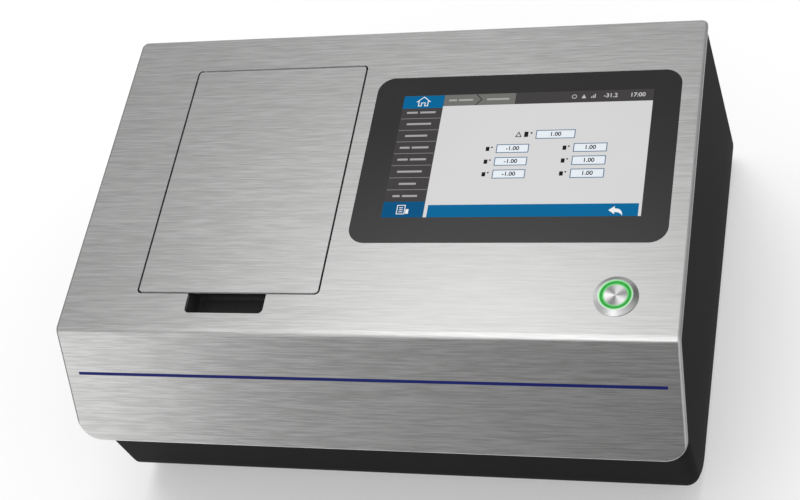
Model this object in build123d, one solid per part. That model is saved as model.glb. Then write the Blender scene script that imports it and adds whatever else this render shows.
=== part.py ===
from build123d import *
import os
from math import cos, hypot, radians, sin, tan

# Benchtop colorimeter: a folded steel face over a black sheet-steel housing, with a flush
# sample lid on hidden gooseneck hinges, a touch display and a lit push button.
# Millimetres. X runs to the user's right, Y to the rear and Z up. The origin lies on the
# table, under the middle of the instrument.
# On the sloping face, s runs up the slope from the fold and n stands out of the face.

# --- Steel face ---
FACE_WIDTH = 371.0
FACE_LENGTH = 218.4
FACE_SLOPE = 6.2
FACE_THICKNESS = 2.5
FACE_REAR_RADIUS = 4.0
PANEL_LENGTH = 76.5
PANEL_LEAN = 26.3
PANEL_CORNER_RADIUS = 14.0
FOLD_RADIUS = 4.5
FOLD_HEIGHT = 145.5
EDGE_ROUND = 0.8

# --- Housing ---
SHEET = 1.5
SIDE_INSET = 3.3
APRON_FOOT = 8.3
APRON_LEAN = 8.7
APRON_BEND = 19.0
HOUSING_TAIL = 5.28
REAR_LEAN = 15.5
REAR_BEND = 2.5
TOP_BEND = 14.0
HEM = 3.0
HEM_LIP = 18.0
TOP_FLANGE = 22.0
SIDE_FLANGE = 12.0
SHEET_FIT = 0.1
VENT_SLOT = 3.0
VENT_PITCH = 9.0
BASE_VENT_LENGTH = 40.0
REAR_VENT_LENGTH = 26.0
REAR_VENT_HEIGHT = 95.0
SCREW_END_SHARE = 0.1

# --- Feet ---
FOOT_HEIGHT = 10.0
FOOT_RADIUS = 11.0
FOOT_TAPER = 6.0
FOOT_INSET_X = 34.0
FOOT_INSET_Y = 38.0
FOOT_RECESS_RADIUS = 4.4
FOOT_RECESS_DEPTH = 3.5
FOOT_SCREW_RADIUS = 2.0
FOOT_SCREW_HEAD_RADIUS = 3.8
FOOT_SCREW_HEAD_HEIGHT = 2.4
FOOT_SCREW_END = 2.0

# --- Sample lid ---
LID_WIDTH = 113.5
LID_LEFT = 47.65
LID_FRONT = 26.8
LID_REAR = 26.8
LID_GAP = 1.2
LID_CORNER = 1.9
LID_SKIN = 1.5
LINER_THICKNESS = 2.0
LINER_INSET = 2.5
LINER_RIB = 3.1
LINER_RIB_WIDTH = 5.0
CROSS_RIBS = 3
CROSS_RIB_WIDTH = 2.0
CROSS_RIB = 2.1
GASKET_WIDTH = 3.0
GASKET_HEIGHT = 1.6
SEAL_GAP = 0.3

# --- Finger notch and cup ---
NOTCH_WIDTH = 49.4
NOTCH_SHIFT = 0.6
NOTCH_FRONT = 12.7
NOTCH_RADIUS = 3.0
CUP_DEPTH = 19.0
CUP_WALL = 1.8
CUP_MARGIN = 1.0
CUP_UNDERCUT = 9.0
CUP_FLANGE = 5.0
CUP_FLOOR_RADIUS = 2.4

# --- Gooseneck hinge ---
HINGE_BACK = 15.0
HINGE_DROP = 7.5
HINGE_INSET = 14.75
ARM_WIDTH = 4.5
ARM_BAND = 4.5
ARM_CLEARANCE = 1.3
ARM_LEG_FRONT = 1.5
ARM_LEG_BACK = 3.5
ARM_FOOT_WIDTH = 24.0
ARM_FOOT_THICKNESS = 2.5
ARM_FOOT_LENGTH = 9.0
ARM_FOOT_CORNER = 1.5
EYE_RADIUS = 4.2
PIN_RADIUS = 2.0
PIN_FIT = 0.05
EAR_THICKNESS = 2.0
EAR_CLEARANCE = 0.4
PIN_END = 0.6
BRACKET_FRONT = 5.5
BRACKET_REACH = 7.0
BRACKET_FLANGE = 9.0

# --- Sample tray ---
TRAY_WALL = 2.0
TRAY_MARGIN = 1.0
TRAY_FLANGE = 8.0
TRAY_RELIEF = 1.0
WELL_SIDE_LEDGE = 8.45
WELL_FRONT_LEDGE = 16.4
WELL_REAR_LEDGE = 16.1
WELL_CORNER = 6.0
WELL_FLOOR_DROP = 37.5
POCKET_MARGIN = 1.5

# --- Catch ---
MAGNET_RADIUS = 3.0
MAGNET_HEIGHT = 1.5
STRIKE_HEIGHT = 3.0
CATCH_INSET = 4.5

# --- Measuring port and integrating sphere ---
PORT_FLANGE_RADIUS = 29.0
PORT_FLANGE_HEIGHT = 2.5
PORT_SPIGOT_RADIUS = 22.5
PORT_SPIGOT_LENGTH = 5.0
PORT_BORE_RADIUS = 15.0
PORT_GLASS_RADIUS = 17.9
PORT_GLASS_THICKNESS = 1.9
PORT_FIT = 0.2
PORT_CHAMFER = 1.0
SPHERE_RADIUS = 28.0
SPHERE_DROP = 29.0
SPHERE_BLOCK_RADIUS = 34.0
SPHERE_BLOCK_DROP = 31.0
SPHERE_POST_RADIUS = 2.5
VIEW_TILT = 8.0
LENS_RADIUS = 7.0
LENS_BORE = 4.0
LENS_GAP = 6.5
LAMP_TILT = 20.0
LAMP_TUBE_RADIUS = 8.0
LAMP_BORE = 5.0
LAMP_TUBE_LENGTH = 10.0
LAMP_SIZE = 30.0
BORE_MARGIN = 1.0
BOX_CORNER = 3.0
SIGHT_DEPTH = 4.0
BENCH_WIDTH = 124.0
BENCH_LENGTH = 110.0
BENCH_THICKNESS = 3.0
BENCH_RISE = 12.0
DETECTOR_WIDTH = 44.0
DETECTOR_LENGTH = 60.0
DETECTOR_SHIFT = 10.0
BENCH_STANDOFF = 7.0

# --- Display ---
GLASS_TO_LID = 11.1
GLASS_RIGHT = 12.05
GLASS_FRONT = 61.0
GLASS_REAR = 37.0
GLASS_RADIUS = 10.5
GLASS_GAP = 0.2
LCD_THICKNESS = 5.5
LCD_LEFT = 11.35
LCD_RIGHT = 10.35
LCD_FRONT = 10.3
LCD_REAR = 6.1
DISPLAY_LIP = 6.0
DISPLAY_PILLAR = 10.0

# --- Push button ---
BUTTON_RIGHT = 36.9
BUTTON_S = 26.0
BEZEL_RADIUS = 12.5
BEZEL_TOP_RADIUS = 9.8
BEZEL_HEIGHT = 2.3
BEZEL_EDGE = 0.6
BARREL_RADIUS = 10.9
BARREL_LENGTH = 28.0
BARREL_BORE = 7.5
RING_OUTER_RADIUS = 8.8
RING_INNER_RADIUS = 7.05
RING_HEIGHT = 2.1
RING_DEPTH = 3.0
RING_CHAMFER = 0.3
CAP_RADIUS = 6.75
CAP_HEIGHT = 2.0
CAP_THICKNESS = 5.0
CAP_CHAMFER = 0.3
STEM_RADIUS = 3.0
STEM_LENGTH = 2.5
BUTTON_TRAVEL = 1.5
MOVING_GAP = 0.3
BLADE_THICKNESS = 0.8
BLADE_WIDTH = 2.8
BLADE_LENGTH = 6.0
BUTTON_NUT_FLATS = 27.0
BUTTON_NUT_HEIGHT = 3.5

# --- Rear wall fittings ---
PORT_ROW_HEIGHT = 42.0
ROCKER_RIGHT = 43.5
FITTING_PITCH = 29.0
ROCKER_RADIUS = 7.2
ROCKER_WIDTH = 8.6
ROCKER_TILT = 8.0
ROCKER_PEAK = 2.2
ROCKER_DEPTH = 5.0
ROCKER_SWING = 1.1
TRUNNION_RADIUS = 1.0
TRUNNION_LENGTH = 1.2
ROCKER_FRAME_LENGTH = 21.0
ROCKER_FRAME_WIDTH = 15.0
ROCKER_FRAME_RISE = 1.6
ROCKER_FRAME_CORNER = 1.5
ROCKER_BODY_LENGTH = 19.0
ROCKER_BODY_WIDTH = 13.0
ROCKER_BODY_DEPTH = 12.0
INLET_RADIUS = 5.5
INLET_FLANGE_RADIUS = 7.5
INLET_BORE = 3.2
INLET_PIN = 1.05
INLET_DEPTH = 9.5
INLET_PIN_DEPTH = 1.0
USB_WIDTH = 12.0
USB_HEIGHT = 11.0
USB_DEPTH = 9.0
USB_WALL = 1.6
USB_TONGUE_WIDTH = 5.6
USB_TONGUE_HEIGHT = 3.2
USB_TONGUE_DEPTH = 1.5
USB_LIP = 0.5
CUTOUT_FIT = 0.2

# --- Boards ---
BOARD_THICKNESS = 1.6
BOARD_RISE = 10.0
BOARD_HOLE_INSET = 6.0
STANDOFF_FLATS = 6.0
BOARD_TO_BENCH = 29.1
BOARD_RIGHT = 20.7
MAIN_BOARD_LENGTH = 110.0
POWER_BOARD_WIDTH = 90.0
POWER_BOARD_LENGTH = 60.0
BOARD_MARGIN = 22.0

# --- Fasteners ---
SCREW_RADIUS = 1.5
SCREW_HEAD_RADIUS = 2.9
SCREW_HEAD_HEIGHT = 1.9
SCREW_LENGTH = 6.0
SCREW_FIT = 0.15
SCREW_END_GAP = 0.5


def sind(angle):
    return sin(radians(angle))


def cosd(angle):
    return cos(radians(angle))


def tand(angle):
    return tan(radians(angle))


# --- Where the main surfaces lie, worked out from the sizes above ---
FRONT_REACH = PANEL_LENGTH * sind(PANEL_LEAN)
TAIL_S = FACE_LENGTH + HOUSING_TAIL
TAIL_Y = TAIL_S * cosd(FACE_SLOPE) + FACE_THICKNESS * sind(FACE_SLOPE)
TAIL_Z = FOLD_HEIGHT + TAIL_S * sind(FACE_SLOPE) - FACE_THICKNESS * cosd(FACE_SLOPE)
REAR_CORNER = TAIL_Y + TAIL_Z * tand(REAR_LEAN)
REAR_REACH = REAR_CORNER - REAR_BEND * (tand(REAR_LEAN) + 1 / cosd(REAR_LEAN) - 1)
FOLD_Y = (FRONT_REACH - REAR_REACH) / 2
FOLD_Z = FOOT_HEIGHT + FOLD_HEIGHT
FOLD_TURN = 90 - PANEL_LEAN - FACE_SLOPE
SIDE_X = FACE_WIDTH / 2 - SIDE_INSET
INNER_X = SIDE_X - SHEET
BASE_TOP = FOOT_HEIGHT + SHEET

FACE_NORMAL = Vector(0, -sind(FACE_SLOPE), cosd(FACE_SLOPE))
PANEL_NORMAL = Vector(0, -cosd(PANEL_LEAN), sind(PANEL_LEAN))
REAR_NORMAL = Vector(0, cosd(REAR_LEAN), sind(REAR_LEAN))
FACE = Plane((0, FOLD_Y, FOLD_Z), (1, 0, 0), FACE_NORMAL).location
REAR = Plane((0, FOLD_Y + REAR_CORNER, FOOT_HEIGHT), (1, 0, 0), REAR_NORMAL).location

LID_X = LID_LEFT + (LID_WIDTH - FACE_WIDTH) / 2
LID_LENGTH = FACE_LENGTH - LID_FRONT - LID_REAR
OPENING_FRONT = LID_FRONT - LID_GAP
OPENING_REAR = LID_FRONT + LID_LENGTH + LID_GAP
OPENING_HALF = LID_WIDTH / 2 + LID_GAP
OPENING_S = (OPENING_FRONT + OPENING_REAR) / 2
PIVOT_S = LID_FRONT + LID_LENGTH + HINGE_BACK
ARM_INNER = hypot(HINGE_BACK - LID_GAP, HINGE_DROP) + ARM_CLEARANCE
ARM_OUTER = ARM_INNER + ARM_BAND
HINGE_HALF = LID_WIDTH / 2 - HINGE_INSET
HINGE_XS = (LID_X - HINGE_HALF, LID_X + HINGE_HALF)
ARM_FOOT_S = PIVOT_S - ARM_INNER - ARM_FOOT_LENGTH / 2
EAR_INNER = ARM_WIDTH / 2 + EAR_CLEARANCE
EAR_OUTER = EAR_INNER + EAR_THICKNESS
LINER_UNDER = LID_SKIN + LINER_THICKNESS
RIB_UNDER = LINER_UNDER + LINER_RIB
LEDGE_DEPTH = RIB_UNDER + GASKET_HEIGHT + SEAL_GAP
BASIN_HALF = OPENING_HALF + TRAY_MARGIN
BASIN_FRONT = OPENING_FRONT - TRAY_MARGIN
BASIN_REAR = PIVOT_S + BRACKET_REACH + MOVING_GAP
WELL_WIDTH = 2 * (BASIN_HALF - WELL_SIDE_LEDGE)
WELL_FRONT = BASIN_FRONT + WELL_FRONT_LEDGE
WELL_REAR = LID_FRONT + LID_LENGTH - WELL_REAR_LEDGE
FLOOR_Z = FOLD_Z - WELL_FLOOR_DROP
POCKET_HALF = EAR_OUTER + POCKET_MARGIN
POCKET_FRONT = PIVOT_S - ARM_OUTER - ARM_CLEARANCE
POCKET_DEPTH = HINGE_DROP + ARM_OUTER + ARM_CLEARANCE
NOTCH_X = LID_X + NOTCH_SHIFT
CUP_HALF = NOTCH_WIDTH / 2 + CUP_MARGIN
CUP_FRONT = NOTCH_FRONT - CUP_MARGIN
CUP_REAR = OPENING_FRONT + CUP_UNDERCUT
SPHERE_Z = FLOOR_Z - PORT_SPIGOT_LENGTH - SPHERE_DROP
BENCH_TOP = BASE_TOP + BENCH_RISE + BENCH_THICKNESS
DETECTOR_TOP = SPHERE_Z - SPHERE_BLOCK_DROP - LENS_GAP
GLASS_WIDTH = FACE_WIDTH - LID_LEFT - LID_WIDTH - GLASS_TO_LID - GLASS_RIGHT
GLASS_LENGTH = FACE_LENGTH - GLASS_FRONT - GLASS_REAR
GLASS_X = (FACE_WIDTH - GLASS_WIDTH) / 2 - GLASS_RIGHT
GLASS_S = GLASS_FRONT + GLASS_LENGTH / 2
LCD_WIDTH = GLASS_WIDTH - LCD_LEFT - LCD_RIGHT
LCD_LENGTH = GLASS_LENGTH - LCD_FRONT - LCD_REAR
LCD_X = GLASS_X + (LCD_LEFT - LCD_RIGHT) / 2
LCD_S = GLASS_S + (LCD_FRONT - LCD_REAR) / 2
BUTTON_X = FACE_WIDTH / 2 - BUTTON_RIGHT
ROCKER_X = FACE_WIDTH / 2 - ROCKER_RIGHT
INLET_X = ROCKER_X - FITTING_PITCH
USB_X = INLET_X - FITTING_PITCH
BOARD_LOW_X = LID_X + BENCH_WIDTH / 2 + BOARD_TO_BENCH
MAIN_BOARD_WIDTH = INNER_X - BOARD_RIGHT - BOARD_LOW_X
MAIN_BOARD_X = BOARD_LOW_X + MAIN_BOARD_WIDTH / 2


def face_point(s, n):
    """Point (y, z) at s up the face and n out of it."""
    y = FOLD_Y + s * cosd(FACE_SLOPE) - n * sind(FACE_SLOPE)
    return y, FOLD_Z + s * sind(FACE_SLOPE) + n * cosd(FACE_SLOPE)


def panel_point(w, n):
    """Point (y, z) at w down the front panel and n out of it."""
    y = FOLD_Y - w * sind(PANEL_LEAN) - n * cosd(PANEL_LEAN)
    return y, FOLD_Z - w * cosd(PANEL_LEAN) + n * sind(PANEL_LEAN)


def meet(a, a_angle, b, b_angle):
    """Point (y, z) where the line through a meets the line through b."""
    across = sind(b_angle - a_angle)
    reach = ((b[0] - a[0]) * sind(b_angle) - (b[1] - a[1]) * cosd(b_angle)) / across
    return a[0] + reach * cosd(a_angle), a[1] + reach * sind(a_angle)


APRON_CORNER = (FOLD_Y - APRON_FOOT, FOOT_HEIGHT)
BACK_CORNER = (FOLD_Y + REAR_CORNER, FOOT_HEIGHT)
BACK_TOP = face_point(TAIL_S, -FACE_THICKNESS)
BACK_WALL = TAIL_Z / cosd(REAR_LEAN)
INNER_FOLD = face_point(FACE_THICKNESS * tand(FOLD_TURN / 2), -FACE_THICKNESS)
HEM_EDGE = panel_point(PANEL_LENGTH - HEM, -FACE_THICKNESS)
APRON_TOP = meet(HEM_EDGE, 0, APRON_CORNER, 90 + APRON_LEAN)
WELL_FRONT_Y = face_point(WELL_FRONT, -LEDGE_DEPTH)[0]
WELL_REAR_Y = face_point(WELL_REAR, -LEDGE_DEPTH)[0]
PORT = Pos(LID_X, (WELL_FRONT_Y + WELL_REAR_Y) / 2, 0)
BUTTON = FACE * Pos(BUTTON_X, BUTTON_S, 0)


# --- Small helpers for plain shapes ---
def rounded(points, radii):
    """Closed outline through the points, with each corner rounded by its radius."""
    shape = make_face(Polyline(*points, close=True))
    for point, radius in zip(points, radii):
        if radius > 0:
            shape = fillet(shape.vertices().sort_by_distance(Vector(*point))[0], radius)
    return shape


def block(low, high, radius=0.0):
    """Solid between two opposite corners, with its upright edges rounded."""
    width, length, height = (b - a for a, b in zip(low, high))
    shape = RectangleRounded(width, length, radius) if radius else Rectangle(width, length)
    middle = Pos((low[0] + high[0]) / 2, (low[1] + high[1]) / 2, low[2])
    return middle * extrude(shape, height)


def frame(outer, inner, low, high):
    """Upright wall between two outlines, from one height to another."""
    return Pos(0, 0, low) * extrude(outer - inner, high - low)


def ring(outer, inner, low, high):
    return frame(Circle(outer), Circle(inner), low, high)


def rod(radius, low, high):
    return Pos(0, 0, low) * extrude(Circle(radius), high - low)


def hex_post(flats, low, high):
    return Pos(0, 0, low) * extrude(RegularPolygon(flats / 2, 6, major_radius=False), high - low)


def along_x(section, low, high):
    """Solid of a (y, z) section between two places along X."""
    return Pos(low, 0, 0) * extrude(Plane.YZ * section, high - low)


def group(shapes):
    """Several separate solids that share one sub-part."""
    return Compound(children=[solid for shape in shapes for solid in shape.solids()])


def cut_holes(part, places, radius, depth=5 * SHEET):
    """Part with a round hole through it at each place."""
    for place in places:
        part -= place * rod(radius, -depth, depth)
    return part


# --- Housing ---
def housing_outline():
    """Side view of the closed housing, under the steel face."""
    points = [APRON_CORNER, BACK_CORNER, BACK_TOP, INNER_FOLD, HEM_EDGE, APRON_TOP]
    return rounded(points, [APRON_BEND, REAR_BEND, TOP_BEND, FOLD_RADIUS - FACE_THICKNESS, SHEET, 0])


def open_top():
    """Side view of the stretch that the bent sheets leave open under the steel face."""
    deep = -FACE_THICKNESS - 3 * SHEET
    lip = PANEL_LENGTH - HEM - HEM_LIP
    flange = TAIL_S - TOP_FLANGE
    points = [
        panel_point(lip, FACE_THICKNESS),
        panel_point(lip, deep),
        face_point(flange, deep),
        face_point(flange, FACE_THICKNESS),
        face_point(-FACE_THICKNESS, 2 * FACE_THICKNESS),
    ]
    return rounded(points, [0] * len(points))


def bent_sheet(depth):
    """Side view of a sheet that follows the housing outline at a depth inside it."""
    outer = housing_outline()
    if depth > 0:
        outer = offset(outer, -depth)
    return outer - offset(housing_outline(), -depth - SHEET) - open_top()


def panel_screw_places(side):
    """Screws through the rear wall and the base at one side, with z facing out."""
    x = side * (INNER_X - SIDE_FLANGE / 2)
    start = APRON_CORNER[0] + APRON_BEND
    run = BACK_CORNER[0] - start
    shares = (SCREW_END_SHARE, 1 - SCREW_END_SHARE)
    rear = [REAR * Pos(x, -share * BACK_WALL, 0) for share in shares]
    base = [Pos(x, start + share * run, FOOT_HEIGHT) * Rot(180, 0, 0) for share in shares]
    return rear + base


def foot_places():
    xs = (SIDE_X - FOOT_INSET_X, FOOT_INSET_X - SIDE_X)
    ys = (APRON_CORNER[0] + FOOT_INSET_Y, BACK_CORNER[0] - FOOT_INSET_Y)
    return [Pos(x, y, 0) for x in xs for y in ys]


def rear_place(x):
    """Place in the row of rear fittings, with z out of the wall and y down it."""
    return REAR * Pos(x, -PORT_ROW_HEIGHT, 0)


def vent_row(count, length):
    """Cutter for a row of upright slots, side by side."""
    start = -(count - 1) / 2 * VENT_PITCH
    slot = Rectangle(VENT_SLOT, length)
    slots = [Pos(start + i * VENT_PITCH, 0) * slot for i in range(count)]
    return extrude(Sketch() + slots, 3 * SHEET, both=True)


def side_panel(side):
    """Side panel: a flat sheet with a joggled flange inside the wrap."""
    sheet = along_x(housing_outline(), INNER_X, SIDE_X)
    flange = along_x(bent_sheet(SHEET + SHEET_FIT), INNER_X - SIDE_FLANGE, INNER_X)
    panel = cut_holes(sheet + flange, panel_screw_places(1), SCREW_RADIUS + SCREW_FIT)
    return panel if side > 0 else mirror(panel, about=Plane.YZ)


def housing_wrap():
    """Apron, base and rear wall in one bent sheet."""
    wrap = along_x(bent_sheet(0), -INNER_X, INNER_X)
    relief = BASIN_HALF + TRAY_WALL + TRAY_RELIEF
    low = (LID_X - relief - TRAY_FLANGE, OPENING_S, -FACE_THICKNESS - 2 * SHEET)
    wrap -= FACE * block(low, (LID_X + relief, BASIN_REAR + TRAY_WALL + TRAY_RELIEF, 0))
    places = panel_screw_places(1) + panel_screw_places(-1)
    wrap = cut_holes(wrap, places, SCREW_RADIUS + SCREW_FIT)
    feet = [place * Pos(0, 0, FOOT_HEIGHT) for place in foot_places()]
    wrap = cut_holes(wrap, feet, FOOT_SCREW_RADIUS + SCREW_FIT)
    wrap -= Pos(MAIN_BOARD_X, 0, FOOT_HEIGHT) * vent_row(9, BASE_VENT_LENGTH)
    wrap -= REAR * Pos(LID_X, -REAR_VENT_HEIGHT, 0) * vent_row(12, REAR_VENT_LENGTH)
    rocker_hole = Rectangle(ROCKER_BODY_LENGTH + CUTOUT_FIT, ROCKER_BODY_WIDTH + CUTOUT_FIT)
    usb_hole = Rectangle(USB_WIDTH + CUTOUT_FIT, USB_HEIGHT + CUTOUT_FIT)
    wrap -= rear_place(ROCKER_X) * extrude(rocker_hole, 3 * SHEET, both=True)
    wrap -= rear_place(USB_X) * extrude(usb_hole, 3 * SHEET, both=True)
    return cut_holes(wrap, [rear_place(INLET_X)], INLET_RADIUS + CUTOUT_FIT)


def panel_screws():
    """Pan-head screws that hold the side panels to the wrap."""
    screw = rod(SCREW_HEAD_RADIUS, 0, SCREW_HEAD_HEIGHT) + rod(SCREW_RADIUS, -SCREW_LENGTH, 0)
    return group([place * screw for place in panel_screw_places(1) + panel_screw_places(-1)])


def rubber_feet():
    cone = extrude(Circle(FOOT_RADIUS), FOOT_HEIGHT, taper=FOOT_TAPER)
    foot = Pos(0, 0, FOOT_HEIGHT) * Rot(180, 0, 0) * cone
    foot -= rod(FOOT_RECESS_RADIUS, 0, FOOT_RECESS_DEPTH)
    foot -= rod(FOOT_SCREW_RADIUS + SCREW_FIT, 0, FOOT_HEIGHT)
    return group([place * foot for place in foot_places()])


def foot_screws():
    head_low = FOOT_RECESS_DEPTH - FOOT_SCREW_HEAD_HEIGHT
    screw = rod(FOOT_SCREW_HEAD_RADIUS, head_low, FOOT_RECESS_DEPTH)
    screw += rod(FOOT_SCREW_RADIUS, FOOT_RECESS_DEPTH, BASE_TOP + FOOT_SCREW_END)
    return group([place * screw for place in foot_places()])


# --- Steel face ---
def lid_opening():
    """Outline of the lid opening together with the finger notch, on the face."""
    width = 2 * OPENING_HALF
    opening = RectangleRounded(width, OPENING_REAR - OPENING_FRONT, LID_CORNER + LID_GAP)
    depth = OPENING_FRONT - NOTCH_FRONT + 2 * NOTCH_RADIUS
    notch = RectangleRounded(NOTCH_WIDTH, depth, NOTCH_RADIUS)
    return Pos(LID_X, OPENING_S) * opening + Pos(NOTCH_X, NOTCH_FRONT + depth / 2) * notch


def glass_outline(grow=0.0):
    shape = RectangleRounded(GLASS_WIDTH + 2 * grow, GLASS_LENGTH + 2 * grow, GLASS_RADIUS + grow)
    return Pos(GLASS_X, GLASS_S) * shape


def outer_rim(sheet):
    """Edges round the outer surface of the folded sheet."""
    face = sheet.faces().sort_by(Axis(FACE.position, FACE_NORMAL))[-1]
    panel = sheet.faces().sort_by(Axis(FACE.position, PANEL_NORMAL))[-1]
    bend = sheet.faces().filter_by(GeomType.CYLINDER).sort_by_distance(Vector(0, FOLD_Y, FOLD_Z))[0]
    edges = [edge for part in (face, panel, bend) for edge in part.edges()]
    centres = [tuple(round(c, 3) for c in edge.center()) for edge in edges]
    return [edge for edge, centre in zip(edges, centres) if centres.count(centre) == 1]


def faceplate():
    """Folded steel face with the lid opening, the display window and the button hole."""
    points = [
        face_point(FACE_LENGTH, 0),
        face_point(0, 0),
        panel_point(PANEL_LENGTH, 0),
        panel_point(PANEL_LENGTH, -FACE_THICKNESS),
        INNER_FOLD,
        face_point(FACE_LENGTH, -FACE_THICKNESS),
    ]
    section = rounded(points, [0, FOLD_RADIUS, 0, 0, FOLD_RADIUS - FACE_THICKNESS, 0])
    sheet = along_x(section, -FACE_WIDTH / 2, FACE_WIDTH / 2)
    sheet = fillet(sheet.edges().filter_by(Axis((0, 0, 0), FACE_NORMAL)), FACE_REAR_RADIUS)
    sheet = fillet(sheet.edges().filter_by(Axis((0, 0, 0), PANEL_NORMAL)), PANEL_CORNER_RADIUS)
    sheet = fillet(outer_rim(sheet), EDGE_ROUND)
    button_hole = Pos(BUTTON_X, BUTTON_S) * Circle(BARREL_RADIUS + CUTOUT_FIT)
    holes = lid_opening() + glass_outline(GLASS_GAP) + button_hole
    return sheet - FACE * extrude(holes, 2 * FACE_THICKNESS, both=True)


# --- Sample lid ---
def lid_outline(inset, corner):
    shape = RectangleRounded(LID_WIDTH - 2 * inset, LID_LENGTH - 2 * inset, corner)
    return Pos(LID_X, LID_FRONT + LID_LENGTH / 2) * shape


def seal_outline(grow):
    """Middle line of the seal round the well, grown outwards."""
    low = WELL_FRONT - GASKET_WIDTH / 2 - MOVING_GAP
    high = WELL_REAR + GASKET_WIDTH / 2 + MOVING_GAP
    width = WELL_WIDTH + GASKET_WIDTH + 2 * MOVING_GAP
    shape = RectangleRounded(width + 2 * grow, high - low + 2 * grow, WELL_CORNER + grow)
    return Pos(LID_X, (low + high) / 2) * shape


def arm_screw_places():
    """Screws through the feet of the hinge arms, with z facing down out of the lid."""
    reach = (ARM_FOOT_WIDTH + ARM_WIDTH) / 4
    under = -LINER_UNDER - ARM_FOOT_THICKNESS
    xs = [x + side * reach for x in HINGE_XS for side in (-1, 1)]
    return [FACE * Pos(x, ARM_FOOT_S, under) * Rot(180, 0, 0) for x in xs]


def lid_skin():
    return FACE * extrude(lid_outline(0, LID_CORNER), -LID_SKIN)


def lid_liner():
    """Moulded liner with a ring rib for the seal, cross ribs and a finger recess."""
    plate = Pos(0, 0, -LINER_UNDER) * extrude(lid_outline(LINER_INSET, LID_CORNER), LINER_THICKNESS)
    half = LINER_RIB_WIDTH / 2
    rib = frame(seal_outline(half), seal_outline(-half), -RIB_UNDER, -LINER_UNDER)
    liner = plate + rib
    reach = WELL_WIDTH / 2
    step = (WELL_REAR - WELL_FRONT) / (CROSS_RIBS + 1)
    for i in range(CROSS_RIBS):
        s = WELL_FRONT + (i + 1) * step - CROSS_RIB_WIDTH / 2
        low = (LID_X - reach, s, -LINER_UNDER - CROSS_RIB)
        liner += block(low, (LID_X + reach, s + CROSS_RIB_WIDTH, -LINER_UNDER))
    finger = (NOTCH_X - NOTCH_WIDTH / 2, LID_FRONT, -RIB_UNDER)
    finger_rear = OPENING_FRONT + CUP_UNDERCUT - MOVING_GAP
    liner -= block(finger, (NOTCH_X + NOTCH_WIDTH / 2, finger_rear, -LID_SKIN))
    liner = FACE * liner
    depth = ARM_FOOT_THICKNESS + LINER_THICKNESS - SCREW_END_GAP + SCREW_FIT
    for place in arm_screw_places():
        liner -= place * rod(SCREW_RADIUS + SCREW_FIT, -depth, 0)
    return liner


def lid_gasket():
    half = GASKET_WIDTH / 2
    low = -RIB_UNDER - GASKET_HEIGHT
    return FACE * frame(seal_outline(half), seal_outline(-half), low, -RIB_UNDER)


def catch_places():
    rib_front = WELL_FRONT - MOVING_GAP - GASKET_WIDTH / 2 - LINER_RIB_WIDTH / 2
    s = (LID_FRONT + LINER_INSET + rib_front) / 2
    reach = WELL_WIDTH / 2 - CATCH_INSET
    return [FACE * Pos(LID_X + side * reach, s, 0) for side in (-1, 1)]


def catch_magnets():
    magnet = rod(MAGNET_RADIUS, -LEDGE_DEPTH, MAGNET_HEIGHT - LEDGE_DEPTH)
    return group([place * magnet for place in catch_places()])


def strike_plates():
    plate = rod(MAGNET_RADIUS, -LINER_UNDER - STRIKE_HEIGHT, -LINER_UNDER)
    return group([place * plate for place in catch_places()])


# --- Gooseneck hinge ---
def hinge_arm(x):
    """Gooseneck: an eye on the pin, a bow round the plate edge, and a foot on the lid."""
    bow = Circle(ARM_OUTER) - Circle(ARM_INNER)
    quarter = Pos((ARM_LEG_BACK - ARM_OUTER) / 2, -ARM_OUTER / 2)
    bow &= quarter * Rectangle(ARM_OUTER + ARM_LEG_BACK, ARM_OUTER)
    foot_top = HINGE_DROP - LINER_UNDER
    leg = Pos(-ARM_INNER - ARM_BAND / 2, foot_top / 2) * Rectangle(ARM_BAND, foot_top)
    drop = (ARM_INNER + ARM_OUTER) / 2
    back_leg = Pos((ARM_LEG_BACK - ARM_LEG_FRONT) / 2, -drop / 2)
    back_leg *= Rectangle(ARM_LEG_BACK + ARM_LEG_FRONT, drop)
    section = bow + leg + back_leg + Circle(EYE_RADIUS) - Circle(PIN_RADIUS + PIN_FIT)
    arm = along_x(section, -ARM_WIDTH / 2, ARM_WIDTH / 2)
    half = ARM_FOOT_WIDTH / 2
    foot_low = (-half, -ARM_INNER - ARM_FOOT_LENGTH, foot_top - ARM_FOOT_THICKNESS)
    arm += block(foot_low, (half, -ARM_INNER, foot_top), ARM_FOOT_CORNER)
    return FACE * Pos(x, PIVOT_S, -HINGE_DROP) * arm


def hinge_arms():
    arms = [cut_holes(hinge_arm(x), arm_screw_places(), SCREW_RADIUS + SCREW_FIT) for x in HINGE_XS]
    return group(arms)


def lid_screws():
    length = ARM_FOOT_THICKNESS + LINER_THICKNESS - SCREW_END_GAP
    screw = rod(SCREW_HEAD_RADIUS, 0, SCREW_HEAD_HEIGHT) + rod(SCREW_RADIUS, -length, 0)
    return group([place * screw for place in arm_screw_places()])


def hinge_bracket(x):
    """Bent bracket under the face: two ears round the arm, a back web and two flanges."""
    top = HINGE_DROP - FACE_THICKNESS
    eye_low = -EYE_RADIUS
    web = (-EAR_OUTER, BRACKET_REACH - EAR_THICKNESS, eye_low)
    bracket = block(web, (EAR_OUTER, BRACKET_REACH, top))
    for side in (-1, 1):
        inner, outer = sorted((side * EAR_INNER, side * EAR_OUTER))
        bracket += block((inner, -BRACKET_FRONT, eye_low), (outer, BRACKET_REACH, top))
        near, far = sorted((side * EAR_INNER, side * (EAR_OUTER + BRACKET_FLANGE)))
        bracket += block((near, -BRACKET_FRONT, top - EAR_THICKNESS), (far, BRACKET_REACH, top))
    reach = EAR_OUTER + EAR_THICKNESS
    bracket -= Rot(0, 90, 0) * rod(PIN_RADIUS + PIN_FIT / 2, -reach, reach)
    return FACE * Pos(x, PIVOT_S, -HINGE_DROP) * bracket


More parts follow.
